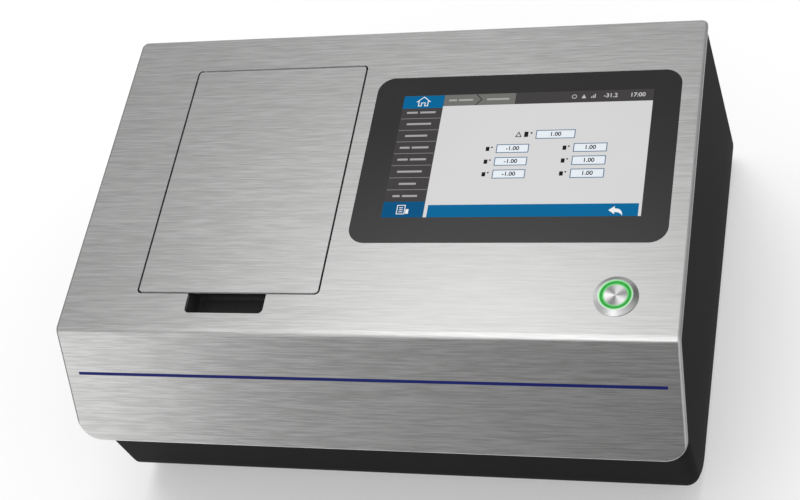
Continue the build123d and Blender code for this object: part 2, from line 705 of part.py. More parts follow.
def hinge_brackets():
    return group([hinge_bracket(x) for x in HINGE_XS])


def hinge_pins():
    half = EAR_OUTER + PIN_END
    pin = Rot(0, 90, 0) * rod(PIN_RADIUS, -half, half)
    return group([FACE * Pos(x, PIVOT_S, -HINGE_DROP) * pin for x in HINGE_XS])


# --- Sample tray and finger cup ---
def tray_space(grow):
    """Space of the tray: basin, hinge pockets and level well, grown by the wall."""
    top = -FACE_THICKNESS
    low = (LID_X - BASIN_HALF - grow, BASIN_FRONT - grow, -LEDGE_DEPTH - grow)
    space = FACE * block(low, (LID_X + BASIN_HALF + grow, BASIN_REAR + grow, top))
    for x in HINGE_XS:
        low = (x - POCKET_HALF - grow, POCKET_FRONT - grow, -POCKET_DEPTH - grow)
        space += FACE * block(low, (x + POCKET_HALF + grow, BASIN_REAR + grow, top))
    half = WELL_WIDTH / 2 + grow
    roof = face_point(WELL_REAR, -LEDGE_DEPTH)[1]
    well_low = (LID_X - half, WELL_FRONT_Y - grow, FLOOR_Z - grow)
    well = block(well_low, (LID_X + half, WELL_REAR_Y + grow, roof), WELL_CORNER + grow)
    above = (LID_X - FACE_WIDTH, 0, -LEDGE_DEPTH)
    return space + (well - FACE * block(above, (LID_X + FACE_WIDTH, FACE_LENGTH, FOLD_HEIGHT)))


def cup_hull(grow):
    """Outside of the finger cup; its rear end stays under the lid."""
    out = CUP_WALL + grow
    low = (NOTCH_X - CUP_HALF - out, CUP_FRONT - out, -CUP_DEPTH - out)
    high = (NOTCH_X + CUP_HALF + out, CUP_REAR + out, -FACE_THICKNESS)
    return block(low, high)


def sample_tray():
    """Moulded tray: ledge for the seal, level well, and deep pockets for the arms."""
    low = (LID_X - BASIN_HALF - TRAY_WALL - TRAY_FLANGE, BASIN_FRONT - TRAY_WALL - TRAY_FLANGE)
    high = (LID_X + BASIN_HALF + TRAY_WALL, BASIN_REAR + TRAY_WALL, -FACE_THICKNESS)
    flange = FACE * block((*low, -FACE_THICKNESS - TRAY_WALL), high)
    tray = flange + tray_space(TRAY_WALL) - tray_space(0) - FACE * cup_hull(CUTOUT_FIT)
    return tray - PORT * rod(PORT_SPIGOT_RADIUS + PORT_FIT, FLOOR_Z - 2 * TRAY_WALL, FLOOR_Z)


def finger_cup():
    """Moulded cup under the notch, open towards the front edge of the lid."""
    low = (NOTCH_X - CUP_HALF, CUP_FRONT, -CUP_DEPTH)
    space = block(low, (NOTCH_X + CUP_HALF, CUP_REAR, -FACE_THICKNESS), NOTCH_RADIUS)
    space = fillet(space.faces().sort_by(Axis.Z)[0].edges(), CUP_FLOOR_RADIUS)
    flange_front = CUP_FRONT - CUP_WALL - CUP_FLANGE
    flange_x = CUP_HALF + CUP_WALL
    flange = block(
        (NOTCH_X - flange_x, flange_front, -FACE_THICKNESS - CUP_WALL),
        (NOTCH_X + flange_x, CUP_FRONT, -FACE_THICKNESS),
    )
    under_lid = (NOTCH_X - FACE_WIDTH, BASIN_FRONT, -LEDGE_DEPTH)
    cup = cup_hull(0) + flange - space - block(under_lid, (NOTCH_X + FACE_WIDTH, FACE_LENGTH, 0))
    return FACE * cup


# --- Measuring port, sphere and optical bench ---
def port_ring():
    """Black anodised ring in the floor of the well, with a seat for the glass."""
    top = FLOOR_Z + PORT_FLANGE_HEIGHT
    part = rod(PORT_FLANGE_RADIUS, FLOOR_Z, top)
    part = chamfer(part.edges().sort_by(Axis.Z)[-1], PORT_CHAMFER)
    part += rod(PORT_SPIGOT_RADIUS, FLOOR_Z - PORT_SPIGOT_LENGTH, FLOOR_Z)
    part -= rod(PORT_BORE_RADIUS, FLOOR_Z - PORT_SPIGOT_LENGTH, top)
    part -= rod(PORT_GLASS_RADIUS + PIN_FIT, top - PORT_GLASS_THICKNESS - PIN_FIT, top)
    return PORT * part


def port_glass():
    low = FLOOR_Z + PORT_FLANGE_HEIGHT - PORT_GLASS_THICKNESS - PIN_FIT
    return PORT * rod(PORT_GLASS_RADIUS, low, low + PORT_GLASS_THICKNESS)


SPHERE = PORT * Pos(0, 0, SPHERE_Z)
VIEW_AXIS = SPHERE * Rot(180 + VIEW_TILT, 0, 0)
LAMP_AXIS = SPHERE * Rot(0, -90 - LAMP_TILT, 0)


def sphere_block(low, high):
    """Turned block with its share of the round white cavity, centred on the origin."""
    return rod(SPHERE_BLOCK_RADIUS, low, high) - Sphere(SPHERE_RADIUS)


def sphere_upper():
    """Upper half, open at the top to the measuring port."""
    half = sphere_block(0, SPHERE_DROP)
    return SPHERE * (half - rod(PORT_BORE_RADIUS + BORE_MARGIN, 0, SPHERE_DROP))


def sphere_lower():
    """Lower half, with a viewing hole and a lamp hole."""
    half = SPHERE * sphere_block(-SPHERE_BLOCK_DROP, 0)
    half -= VIEW_AXIS * rod(LENS_BORE + BORE_MARGIN, 0, 2 * SPHERE_RADIUS)
    return half - LAMP_AXIS * rod(LAMP_BORE + BORE_MARGIN, 0, 2 * SPHERE_RADIUS)


def sphere_posts():
    """Three posts that carry the sphere on the optical bench, round the detector."""
    reach = SPHERE_BLOCK_RADIUS - SPHERE_POST_RADIUS
    post = rod(SPHERE_POST_RADIUS, BENCH_TOP, SPHERE_Z - SPHERE_BLOCK_DROP)
    turns = [Rot(0, 0, i * 120 - 90) for i in range(3)]
    return group([PORT * turn * Pos(reach, 0, 0) * post for turn in turns])


def lens_barrel():
    """Short tube from the viewing hole down to the detector."""
    tube = VIEW_AXIS * ring(LENS_RADIUS, LENS_BORE, SPHERE_RADIUS, 2 * SPHERE_RADIUS)
    tube -= SPHERE * rod(SPHERE_BLOCK_RADIUS, -SPHERE_BLOCK_DROP, 0)
    wide = (-BENCH_WIDTH, -BENCH_LENGTH, -FOOT_HEIGHT)
    return tube - PORT * block(wide, (BENCH_WIDTH, BENCH_LENGTH, DETECTOR_TOP))


def detector_box():
    """Spectrometer housing on the bench, with a sight hole under the lens."""
    half, reach = DETECTOR_WIDTH / 2, DETECTOR_LENGTH / 2
    low = (-half, DETECTOR_SHIFT - reach, BENCH_TOP)
    box = block(low, (half, DETECTOR_SHIFT + reach, DETECTOR_TOP), BOX_CORNER)
    behind = (SPHERE_Z - DETECTOR_TOP) * tand(VIEW_TILT)
    sight = Pos(0, behind, 0) * rod(LENS_BORE, DETECTOR_TOP - SIGHT_DEPTH, DETECTOR_TOP)
    return PORT * (box - sight)


def lamp_module():
    """Flash lamp housing with a tube to the sphere."""
    start = SPHERE_BLOCK_RADIUS + LAMP_TUBE_LENGTH
    half = LAMP_SIZE / 2
    lamp = rod(LAMP_TUBE_RADIUS, SPHERE_RADIUS, start)
    lamp += block((-half, -half, start), (half, half, start + LAMP_SIZE), BOX_CORNER)
    lamp -= rod(LAMP_BORE, SPHERE_RADIUS, start + SIGHT_DEPTH)
    return LAMP_AXIS * lamp - SPHERE * rod(SPHERE_BLOCK_RADIUS + PIN_FIT, -SPHERE_BLOCK_DROP, 0)


def bench_corners():
    x, y = BENCH_WIDTH / 2 - BOARD_HOLE_INSET, BENCH_LENGTH / 2 - BOARD_HOLE_INSET
    return [PORT * Pos(i * x, j * y, 0) for i in (-1, 1) for j in (-1, 1)]


def optics_bench():
    half_x, half_y = BENCH_WIDTH / 2, BENCH_LENGTH / 2
    low = (-half_x, -half_y, BENCH_TOP - BENCH_THICKNESS)
    return PORT * block(low, (half_x, half_y, BENCH_TOP))


def bench_standoffs():
    post = hex_post(BENCH_STANDOFF, BASE_TOP, BENCH_TOP - BENCH_THICKNESS)
    return group([place * post for place in bench_corners()])


# --- Display ---
def display_glass():
    return FACE * extrude(glass_outline(), -FACE_THICKNESS)


def pillar_places():
    x = LCD_WIDTH / 2 + STANDOFF_FLATS
    s = LCD_LENGTH / 2 - STANDOFF_FLATS
    return [FACE * Pos(LCD_X + i * x, LCD_S + j * s, 0) for i in (-1, 1) for j in (-1, 1)]


def display_bracket():
    """Sheet frame bonded under the face, which carries the edge of the glass."""
    window = Pos(LCD_X, LCD_S) * Rectangle(LCD_WIDTH + 2 * CUTOUT_FIT, LCD_LENGTH + 2 * CUTOUT_FIT)
    low = -FACE_THICKNESS - SHEET
    return FACE * frame(glass_outline(DISPLAY_LIP), window, low, -FACE_THICKNESS)


def lcd_panel():
    half_x, half_s = LCD_WIDTH / 2, LCD_LENGTH / 2
    low = (LCD_X - half_x, LCD_S - half_s, -FACE_THICKNESS - LCD_THICKNESS)
    return FACE * block(low, (LCD_X + half_x, LCD_S + half_s, -FACE_THICKNESS))


def display_pillars():
    top = -FACE_THICKNESS - SHEET
    post = hex_post(STANDOFF_FLATS, top - DISPLAY_PILLAR, top)
    return group([place * post for place in pillar_places()])


def display_board():
    top = -FACE_THICKNESS - SHEET - DISPLAY_PILLAR
    half_x, half_s = LCD_WIDTH / 2 + 2 * STANDOFF_FLATS, LCD_LENGTH / 2
    low = (LCD_X - half_x, LCD_S - half_s, top - BOARD_THICKNESS)
    return FACE * block(low, (LCD_X + half_x, LCD_S + half_s, top))


# --- Push button ---
def button_bezel():
    """Turned bezel and threaded barrel, with a bevelled rim round the light ring."""
    points = [
        (RING_OUTER_RADIUS + PIN_FIT, BEZEL_HEIGHT),
        (BEZEL_TOP_RADIUS, BEZEL_HEIGHT),
        (BEZEL_RADIUS, BEZEL_EDGE),
        (BEZEL_RADIUS, 0),
        (BARREL_RADIUS, 0),
        (BARREL_RADIUS, -BARREL_LENGTH),
        (BARREL_BORE, -BARREL_LENGTH),
        (BARREL_BORE, -RING_DEPTH),
        (RING_OUTER_RADIUS + PIN_FIT, -RING_DEPTH),
    ]
    section = make_face(Polyline(*points, close=True))
    return BUTTON * revolve(Plane.XZ * section, Axis.Z)


def button_light_ring():
    part = ring(RING_OUTER_RADIUS, RING_INNER_RADIUS, -RING_DEPTH, RING_HEIGHT)
    return BUTTON * chamfer(part.edges().sort_by(Axis.Z)[-2:], RING_CHAMFER)


def button_cap():
    """Round cap with a plunger, a running gap inside the light ring."""
    cap = rod(CAP_RADIUS, CAP_HEIGHT - CAP_THICKNESS, CAP_HEIGHT)
    cap = chamfer(cap.edges().sort_by(Axis.Z)[-1], CAP_CHAMFER)
    low = CAP_HEIGHT - CAP_THICKNESS
    return BUTTON * (cap + rod(STEM_RADIUS, low - STEM_LENGTH, low))


def button_switch():
    """Contact block in the barrel, with two terminals below."""
    top = CAP_HEIGHT - CAP_THICKNESS - STEM_LENGTH - BUTTON_TRAVEL - MOVING_GAP
    low = -BARREL_LENGTH - BUTTON_NUT_HEIGHT
    switch = rod(BARREL_BORE - PIN_FIT, low, top)
    for side in (-1, 1):
        x = side * BARREL_BORE / 2
        blade = (x - BLADE_THICKNESS / 2, -BLADE_WIDTH / 2, low - BLADE_LENGTH)
        switch += block(blade, (x + BLADE_THICKNESS / 2, BLADE_WIDTH / 2, low))
    return BUTTON * switch


def button_nut():
    hexagon = RegularPolygon(BUTTON_NUT_FLATS / 2, 6, major_radius=False)
    low = -FACE_THICKNESS - BUTTON_NUT_HEIGHT
    return BUTTON * frame(hexagon, Circle(BARREL_RADIUS + SCREW_FIT), low, -FACE_THICKNESS)


# --- Rear wall fittings ---
def rocker_frame():
    """Frame and body of the power switch, with a window for the rocker."""
    outline = RectangleRounded(ROCKER_FRAME_LENGTH, ROCKER_FRAME_WIDTH, ROCKER_FRAME_CORNER)
    body = Rectangle(ROCKER_BODY_LENGTH, ROCKER_BODY_WIDTH)
    part = extrude(outline, ROCKER_FRAME_RISE) + extrude(body, -ROCKER_BODY_DEPTH)
    half_x, half_y = ROCKER_RADIUS + MOVING_GAP, ROCKER_WIDTH / 2 + MOVING_GAP
    floor = -ROCKER_FRAME_RISE - ROCKER_DEPTH - MOVING_GAP - ROCKER_SWING
    part -= block((-half_x, -half_y, floor), (half_x, half_y, ROCKER_FRAME_RISE))
    shaft = half_y + TRUNNION_LENGTH
    part -= rocker_pivot() * rod(TRUNNION_RADIUS + PIN_FIT, -shaft, shaft)
    return rear_place(ROCKER_X) * part


def rocker_pivot():
    """Axis of the rocker, across the switch and just under the wall surface."""
    return Pos(0, 0, -ROCKER_FRAME_RISE) * Rot(90, 0, 0)


def rocker():
    """Rocker with a shallow vee on top, standing at its ON stop."""
    wing = 2 * ROCKER_RADIUS
    crest = ROCKER_PEAK + wing * tand(ROCKER_TILT)
    points = [
        (-wing, crest),
        (0, ROCKER_PEAK),
        (wing, crest),
        (wing, -ROCKER_DEPTH),
        (-wing, -ROCKER_DEPTH),
    ]
    section = Circle(ROCKER_RADIUS) & make_face(Polyline(*points, close=True))
    body = extrude(section, ROCKER_WIDTH / 2, both=True)
    shaft = ROCKER_WIDTH / 2 + TRUNNION_LENGTH
    body += rod(TRUNNION_RADIUS, -shaft, shaft)
    return rear_place(ROCKER_X) * rocker_pivot() * Rot(0, 0, ROCKER_TILT) * body


def dc_inlet():
    """Round low-voltage inlet with a centre pin and a nut-like flange."""
    part = rod(INLET_FLANGE_RADIUS, 0, SHEET) + rod(INLET_RADIUS, -INLET_DEPTH - SHEET, 0)
    part -= ring(INLET_BORE, INLET_PIN, -INLET_DEPTH, SHEET)
    part -= rod(INLET_BORE, -INLET_PIN_DEPTH, SHEET)
    return rear_place(INLET_X) * part


def usb_port():
    """Square data socket with a tongue."""
    shell = extrude(Rectangle(USB_WIDTH, USB_HEIGHT), USB_DEPTH + USB_WALL + USB_LIP)
    part = Pos(0, 0, -USB_DEPTH - USB_WALL) * shell
    mouth = Rectangle(USB_WIDTH - 2 * USB_WALL, USB_HEIGHT - 2 * USB_WALL)
    tongue = Rectangle(USB_TONGUE_WIDTH, USB_TONGUE_HEIGHT)
    part -= frame(mouth, tongue, -USB_DEPTH, SHEET)
    part -= Pos(0, 0, -USB_TONGUE_DEPTH) * extrude(tongue, USB_TONGUE_DEPTH + USB_LIP)
    return rear_place(USB_X) * part


# --- Circuit boards ---
MAIN_BOARD_Y = APRON_CORNER[0] + APRON_BEND + BOARD_MARGIN + MAIN_BOARD_LENGTH / 2
POWER_BOARD_Y = BACK_CORNER[0] - BOARD_MARGIN - 2 * SHEET - POWER_BOARD_LENGTH / 2
BOARDS = {
    "main_board": (MAIN_BOARD_Y, MAIN_BOARD_WIDTH, MAIN_BOARD_LENGTH),
    "power_board": (POWER_BOARD_Y, POWER_BOARD_WIDTH, POWER_BOARD_LENGTH),
}


def board_corners(name):
    y, width, length = BOARDS[name]
    x, reach = width / 2 - BOARD_HOLE_INSET, length / 2 - BOARD_HOLE_INSET
    return [Pos(MAIN_BOARD_X + i * x, y + j * reach, BASE_TOP) for i in (-1, 1) for j in (-1, 1)]


def board(name):
    y, width, length = BOARDS[name]
    low = (MAIN_BOARD_X - width / 2, y - length / 2, BASE_TOP + BOARD_RISE)
    high = (MAIN_BOARD_X + width / 2, y + length / 2, BASE_TOP + BOARD_RISE + BOARD_THICKNESS)
    return block(low, high)


def board_standoffs():
    post = hex_post(STANDOFF_FLATS, 0, BOARD_RISE)
    return group([place * post for name in BOARDS for place in board_corners(name)])


PARTS = {
    "faceplate": faceplate(),
    "housing_wrap": housing_wrap(),
    "left_side_panel": side_panel(-1),
    "right_side_panel": side_panel(1),
    "panel_screws": panel_screws(),
    "rubber_feet": rubber_feet(),
    "foot_screws": foot_screws(),
    "lid_skin": lid_skin(),
    "lid_liner": lid_liner(),
    "lid_gasket": lid_gasket(),
    "catch_magnets": catch_magnets(),
    "strike_plates": strike_plates(),
    "hinge_arms": hinge_arms(),
    "lid_screws": lid_screws(),
    "hinge_brackets": hinge_brackets(),
    "hinge_pins": hinge_pins(),
    "sample_tray": sample_tray(),
    "finger_cup": finger_cup(),
    "port_ring": port_ring(),
    "port_glass": port_glass(),
    "sphere_upper": sphere_upper(),
    "sphere_lower": sphere_lower(),
    "sphere_posts": sphere_posts(),
    "lens_barrel": lens_barrel(),
    "detector_box": detector_box(),
    "lamp_module": lamp_module(),
    "optics_bench": optics_bench(),
    "bench_standoffs": bench_standoffs(),
    "display_glass": display_glass(),
    "display_bracket": display_bracket(),
    "lcd_panel": lcd_panel(),
    "display_pillars": display_pillars(),
    "display_board": display_board(),
    "button_bezel": button_bezel(),
    "button_light_ring": button_light_ring(),
    "button_cap": button_cap(),
    "button_switch": button_switch(),
    "button_nut": button_nut(),
    "rocker_frame": rocker_frame(),
    "power_rocker": rocker(),
    "dc_inlet": dc_inlet(),
    "usb_port": usb_port(),
    "main_board": board("main_board"),
    "power_board": board("power_board"),
    "board_standoffs": board_standoffs(),
}

os.makedirs("parts", exist_ok=True)
for name, part in PARTS.items():
    export_step(part, f"parts/{name}.step")
print(len(PARTS), "sub-parts written")
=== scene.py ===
# %% [markdown]
# # Dressing a benchtop colorimeter
# The instrument is a low box with a brushed steel face. A flush lid on the left covers the well
# where a sample is measured, a touch display sits on the right, and a lit push button stands in
# front of it. The CAD model already gives every part its size and place, so this lesson adds what a
# drawing can't: brushed, painted, moulded and glazed finishes, the picture on the display, and a
# small studio.
#
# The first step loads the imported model. Its parts stay where they are, in metres, with the origin on
# the table and +Y to the rear.

# %% Load the frame
import math

import bmesh
import bpy
from mathutils import Matrix, Vector


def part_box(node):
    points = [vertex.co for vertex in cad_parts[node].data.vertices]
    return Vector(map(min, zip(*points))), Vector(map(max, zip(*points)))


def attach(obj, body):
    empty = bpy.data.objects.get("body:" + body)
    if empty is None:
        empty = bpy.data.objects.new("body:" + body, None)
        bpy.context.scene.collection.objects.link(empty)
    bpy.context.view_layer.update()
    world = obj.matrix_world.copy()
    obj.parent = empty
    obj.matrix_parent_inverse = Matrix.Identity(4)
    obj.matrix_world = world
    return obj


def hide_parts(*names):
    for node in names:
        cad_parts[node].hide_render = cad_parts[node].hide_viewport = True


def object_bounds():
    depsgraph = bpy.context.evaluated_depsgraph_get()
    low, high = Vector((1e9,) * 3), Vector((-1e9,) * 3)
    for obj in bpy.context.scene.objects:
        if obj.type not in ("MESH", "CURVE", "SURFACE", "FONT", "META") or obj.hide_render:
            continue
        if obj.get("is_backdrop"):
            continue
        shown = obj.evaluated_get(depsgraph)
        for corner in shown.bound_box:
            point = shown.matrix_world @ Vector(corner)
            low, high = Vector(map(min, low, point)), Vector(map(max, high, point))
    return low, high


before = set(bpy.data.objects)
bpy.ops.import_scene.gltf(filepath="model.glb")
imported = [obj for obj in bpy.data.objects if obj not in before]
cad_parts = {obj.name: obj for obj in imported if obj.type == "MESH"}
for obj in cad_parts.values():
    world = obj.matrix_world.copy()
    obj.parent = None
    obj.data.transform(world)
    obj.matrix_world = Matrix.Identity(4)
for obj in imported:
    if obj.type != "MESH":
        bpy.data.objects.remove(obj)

cad_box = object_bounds()

# %% [markdown]
# ## Where the eye stands
# A bench instrument is shown from above and from the front right, so that the lid, the display and
# the button are all seen at once. The camera could be aimed with a Track To constraint, but then its
# roll would be level, and here it leans a little. So its place and its three axes are written out.

# %% Camera
LENS_MM = 74.25
SENSOR_MM = 36.0
CAMERA_PLACE = Vector((0.3090, -0.6246, 0.8693))
CAMERA_AXES = (
    Vector((0.95272, 0.18916, -0.23782)),
    Vector((0.00004, 0.78255, 0.62259)),
    Vector((0.30388, -0.59316, 0.74553)),
)

camera = bpy.data.objects.new("camera", bpy.data.cameras.new("camera"))
bpy.context.scene.collection.objects.link(camera)
camera.data.lens = LENS_MM
camera.data.sensor_width = SENSOR_MM
turned_axes = Matrix(CAMERA_AXES).transposed().to_4x4()
camera.matrix_world = Matrix.Translation(CAMERA_PLACE) @ turned_axes
bpy.context.scene.camera = camera
print("camera at", [round(c, 3) for c in camera.location])

# %% [markdown]
# ## Two sheets to draw on
# The face rises gently to the rear, and the front panel falls steeply from the same fold. Everything
# that is printed or shown on them is easier to place in the sheet's own millimetres: across, up the
# sheet, and out of it. A matrix for each sheet turns those into metres of the frame. Empties as
# parents would do the same, but a matrix leaves nothing behind in the scene.

# %% Sheet coordinates
MM = 0.001
FOLD = Vector((0.0, -0.11716, 0.1555))
FACE_SLOPE = math.radians(6.2)
PANEL_SLOPE = math.radians(63.7)


def sheet_matrix(origin, slope):
    """From a sheet's millimetres (across, up the sheet, out of it) to metres of the frame."""
    across = Vector((1, 0, 0))
    along = Vector((0, math.cos(slope), math.sin(slope)))
    turn = Matrix((across, along, across.cross(along))).transposed().to_4x4()
    return Matrix.Translation(origin) @ turn @ Matrix.Diagonal((MM, MM, MM, 1))


FACE = sheet_matrix(FOLD, FACE_SLOPE)
PANEL = sheet_matrix(FOLD, PANEL_SLOPE)
FACE_OUT = tuple(FACE.col[2].xyz / MM)
print("face normal", [round(c, 3) for c in FACE_OUT])

# %% [markdown]
# ## Shader maths as plain Python
# A finish is a small network of nodes. Wiring it by hand hides the formula, so a thin class wraps one
# socket, and the signs +, -, * and / add the Math nodes. A second class holds a node tree and has one
# method that adds any other node: its kind, its settings, and then its values or links. A material is
# such a tree with the Principled shader in it.

# %% A socket that does sums
class Wire:
    """One output socket, so that shader maths reads as an expression."""

    def __init__(self, tree, socket):
        self.tree, self.socket = tree, socket

    def __add__(self, other):
        return self.tree.maths("ADD", self, other)

    def __sub__(self, other):
        return self.tree.maths("SUBTRACT", self, other)

    def __rsub__(self, other):
        return self.tree.maths("SUBTRACT", other, self)

    def __mul__(self, other):
        return self.tree.maths("MULTIPLY", self, other)

    def __truediv__(self, other):
        return self.tree.maths("DIVIDE", self, other)

    def __rtruediv__(self, other):
        return self.tree.maths("DIVIDE", other, self)

    __radd__, __rmul__ = __add__, __mul__

    def step(self, low, high):
        """A smooth step from 0 at low to 1 at high; low may be the larger."""
        values = {"Value": self, "From Min": low, "From Max": high}
        return self.tree.node("ShaderNodeMapRange", {"interpolation_type": "SMOOTHSTEP"}, values)


print("a wire adds, subtracts, multiplies, divides and steps")


# %% A tree of nodes
def grey(level, tint=(1.0, 1.0, 1.0)):
    """An opaque colour of one linear level, with a slight tint."""
    return (*(level * part for part in tint), 1.0)


class Nodes:
    """A node tree with one method that adds a node."""

    def __init__(self, tree):
        self.tree = tree

    def node(self, kind, settings=None, sockets=None, out=0):
        """Adds a node: its settings and a ramp's stops first, and then its values and links."""
        made = self.tree.nodes.new(kind)
        settings = dict(settings or {})
        for spot, level in settings.pop("stops", ()):
            ends = made.color_ramp.elements  # a new ramp has its first and last stop already
            stop = ends[-int(spot)] if spot in (0, 1) else ends.new(spot)
            stop.color = grey(level)
        for key, value in settings.items():
            setattr(made, key, value)
        self.fill(made, sockets or {})
        return Wire(self, made.outputs[out]) if len(made.outputs) else made

    def fill(self, made, sockets):
        """Sets or links the sockets of a node."""
        for key, value in sockets.items():
            if isinstance(value, Wire):
                self.tree.links.new(value.socket, made.inputs[key])
            else:
                made.inputs[key].default_value = value

    def maths(self, operation, *values):
        return self.node("ShaderNodeMath", {"operation": operation}, dict(enumerate(values)))

    def vector(self, operation, *values, out=0):
        settings = {"operation": operation}
        return self.node("ShaderNodeVectorMath", settings, dict(enumerate(values)), out)

    def axes(self, vector):
        """The X, Y and Z of a vector, as three wires."""
        split = self.node("ShaderNodeSeparateXYZ", sockets={0: vector}).socket.node
        return [Wire(self, part) for part in split.outputs]

    def blend(self, factor, low, high):
        """A colour between two others."""
        return self.node("ShaderNodeMix", {"data_type": "RGBA"}, {0: factor, 6: low, 7: high}, out=2)


print("a mid grey is", grey(0.5))


# %% A material
class Finish(Nodes):
    """A material. Plain sockets of its shader are given by name when it is made."""

    def __init__(self, name, **plain):
        self.material = bpy.data.materials.new(name)
        self.material.use_nodes = True
        super().__init__(self.material.node_tree)
        self.shader = self.tree.nodes["Principled BSDF"]
        self.shade({key.replace("_", " "): value for key, value in plain.items()})
        self.place = self.node("ShaderNodeTexCoord", out=3)

    def shade(self, sockets):
        """Sets or links sockets of the Principled shader."""
        self.fill(self.shader, sockets)

    def surface(self, shader):
        """Puts another shader on the surface."""
        self.fill(self.tree.nodes["Material Output"], {"Surface": shader})

    def noise(self, scale, detail=2.0):
        """Noise in the part's own metres. The scale is in grains per metre, or one for each axis."""
        stretch = scale if isinstance(scale, tuple) else (scale,) * 3
        spot = self.vector("MULTIPLY", self.place, stretch)
        return self.node("ShaderNodeTexNoise", None, {"Vector": spot, "Scale": 1.0, "Detail": detail})

    def bump(self, height, depth, strength=1.0):
        """A normal for relief whose full height is the depth in metres."""
        values = {"Height": height, "Distance": depth, "Strength": strength}
        return self.node("ShaderNodeBump", None, values)


def paint(finish, *names):
    """Gives CAD parts a finish in place of the plain one they came with."""
    for name in names:
        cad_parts[name].data.materials.clear()
        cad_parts[name].data.materials.append(finish.material)
    print(finish.material.name, "on", ", ".join(names))


# %% [markdown]
# ## Brushed steel
# The face and the lid are cut from one sheet of stainless steel, brushed from left to right and bent
# over the front fold. Brushing leaves long fine scratches, so a highlight spreads across them and not
# along them. Noise stretched along X gives the scratches: a fine layer for single hairs, and a broad
# one for the bands that a worn belt leaves. Both tint the steel and lift its surface by less than a
# hundredth of a millimetre, and the hairs change its roughness too. The shader's anisotropy does the
# rest, with its tangent set across the scratches.
#
# The belt pressed hardest on the front panel, and least on the front right of the top, so the
# scratches differ in strength. Cut edges and a narrow rim at each side are matte, and their colour
# is painted light: a painted highlight on cut edges and on the right rim of the front panel, and
# painted shade on the left rim and on the right rim of the face. A cut edge is told by its normal,
# which stands square to the face's, and a rim by its distance from the middle.

# %% Measures of the brushing
HAIRS, BANDS, CLOUDS = (52, 1200, 1200), (15, 330, 330), (2.5, 9, 9)
SCRATCH_DEPTH = 0.000009
STEEL_DARK = grey(0.44, (1.0, 1.0, 0.99))
STEEL_LIGHT = grey(0.56, (1.0, 1.0, 0.995))
CONTRAST = (0.34, 0.66)

CALM_RIGHT = (-0.10, 0.05)
CALM_ABOVE, CALM_BELOW = (0.1545, 0.157), (0.170, 0.162)
PANEL_BELOW = (0.156, 0.153)
REAR_ABOVE = (0.168, 0.176)

SQUARE_ON = (0.5, 0.2)
RIGHT_RIM, LEFT_RIM = (0.1836, 0.1842), (-0.1842, -0.1847)
# Painted light: a painted highlight on cut edges, and on the right rim where it runs down the front
# panel; painted shade on the left rim and on the right rim of the face.
CUT_EDGE_HIGHLIGHT = grey(0.85)
RIM_SHADE_AT_LEFT, RIM_SHADE_BY_FACE, RIM_HIGHLIGHT_BY_PANEL = grey(0.2), grey(0.34), grey(0.68)
print("hairs per metre along X, Y and Z:", HAIRS)

# %% Brushed steel
steel = Finish("brushed_steel", Metallic=1.0, Anisotropic=0.6)
hairs, bands, clouds = steel.noise(HAIRS), steel.noise(BANDS), steel.noise(CLOUDS)
steel_x, _, steel_z = steel.axes(steel.place)
front_right = steel_x.step(*CALM_RIGHT) * steel_z.step(*CALM_ABOVE) * steel_z.step(*CALM_BELOW)
on_panel = steel_z.step(*PANEL_BELOW)
calm = front_right * 0.6 - on_panel * 0.3 + steel_z.step(*REAR_ABOVE) * 0.15
grain = (hairs * 0.62 + bands * 0.24 + clouds * 0.14 - 0.5) * (1.0 - calm) + 0.5
brushed = steel.blend(grain.step(*CONTRAST), STEEL_DARK, STEEL_LIGHT)

true_normal = steel.node("ShaderNodeNewGeometry", out=3)
facing = steel.maths("ABSOLUTE", steel.vector("DOT_PRODUCT", true_normal, FACE_OUT, out=1))
cut_edge = facing.step(*SQUARE_ON)
right_rim = steel_x.step(*RIGHT_RIM)
rim = right_rim + steel_x.step(*LEFT_RIM)
# The rims' colours are painted shade, and a painted highlight on the front panel's right rim.
rim_shade = steel.blend(right_rim, RIM_SHADE_AT_LEFT, RIM_SHADE_BY_FACE)
rim_painted_light = steel.blend(right_rim * on_panel, rim_shade, RIM_HIGHLIGHT_BY_PANEL)
matte = steel.maths("MAXIMUM", cut_edge, rim)

steel.shade({
    "Base Color": steel.blend(cut_edge, steel.blend(rim, brushed, rim_painted_light), CUT_EDGE_HIGHLIGHT),
    "Roughness": 0.2 + hairs * 0.06 + clouds * 0.04 + matte * 0.3,
    "Normal": steel.bump((hairs * 0.75 + bands * 0.25) * (1.0 - calm), SCRATCH_DEPTH),
    "Tangent": steel.node("ShaderNodeCombineXYZ", sockets={"Y": 1.0}),
})
paint(steel, "faceplate", "lid_skin")

# %% [markdown]
# ## Powder coat
# The housing is sheet steel with a satin black powder coat. The powder melts into a skin with a soft
# orange peel, about a millimetre from bump to bump, and a much finer grain on it. Displacing the mesh
# would need millions of faces for that, so two noises in a bump give both. A slow cloud in the
# roughness keeps a large side from looking printed. The bracket of the display has the same coat.

# %% Powder coat
PEEL, DUST, HAZE = 900, 4200, 14
COAT_RELIEF = 0.00003

coat = Finish("satin_powder_coat", Specular_IOR_Level=0.1)
peel, dust, haze = coat.noise(PEEL, detail=1), coat.noise(DUST, detail=1), coat.noise(HAZE)
coat.shade({
    "Base Color": coat.blend(haze.step(0.3, 0.7), grey(0.0065), grey(0.009, (1, 1, 1.02))),
    "Roughness": 0.6 + haze * 0.08 + dust * 0.06,
    "Normal": coat.bump(peel * 0.8 + dust * 0.2, COAT_RELIEF, 0.6),
})
paint(coat, "display_bracket")

# %% [markdown]
# ## Rounded corners of the housing
# Under the front panel the apron turns into the sides round a bend of a few millimetres. The solids
# keep a sharp corner there. A bevel on one sheet would leave the next one poking through, so all of
# them are bent by one rule: each sheet is copied, cut into narrow strips near the corner, and bent.
# A point keeps its depth under the outer skin, and only slides on to the arc. So the sheets keep
# their thickness, and stay one inside the other. The bend is wide at the right and tight at the left.
# It fades out just below the front panel, and where the apron turns into the base.
#
# Seen from the side, the apron leans, and runs round a large bend into the flat base. The lines below
# describe that view, as pairs of Y and Z.

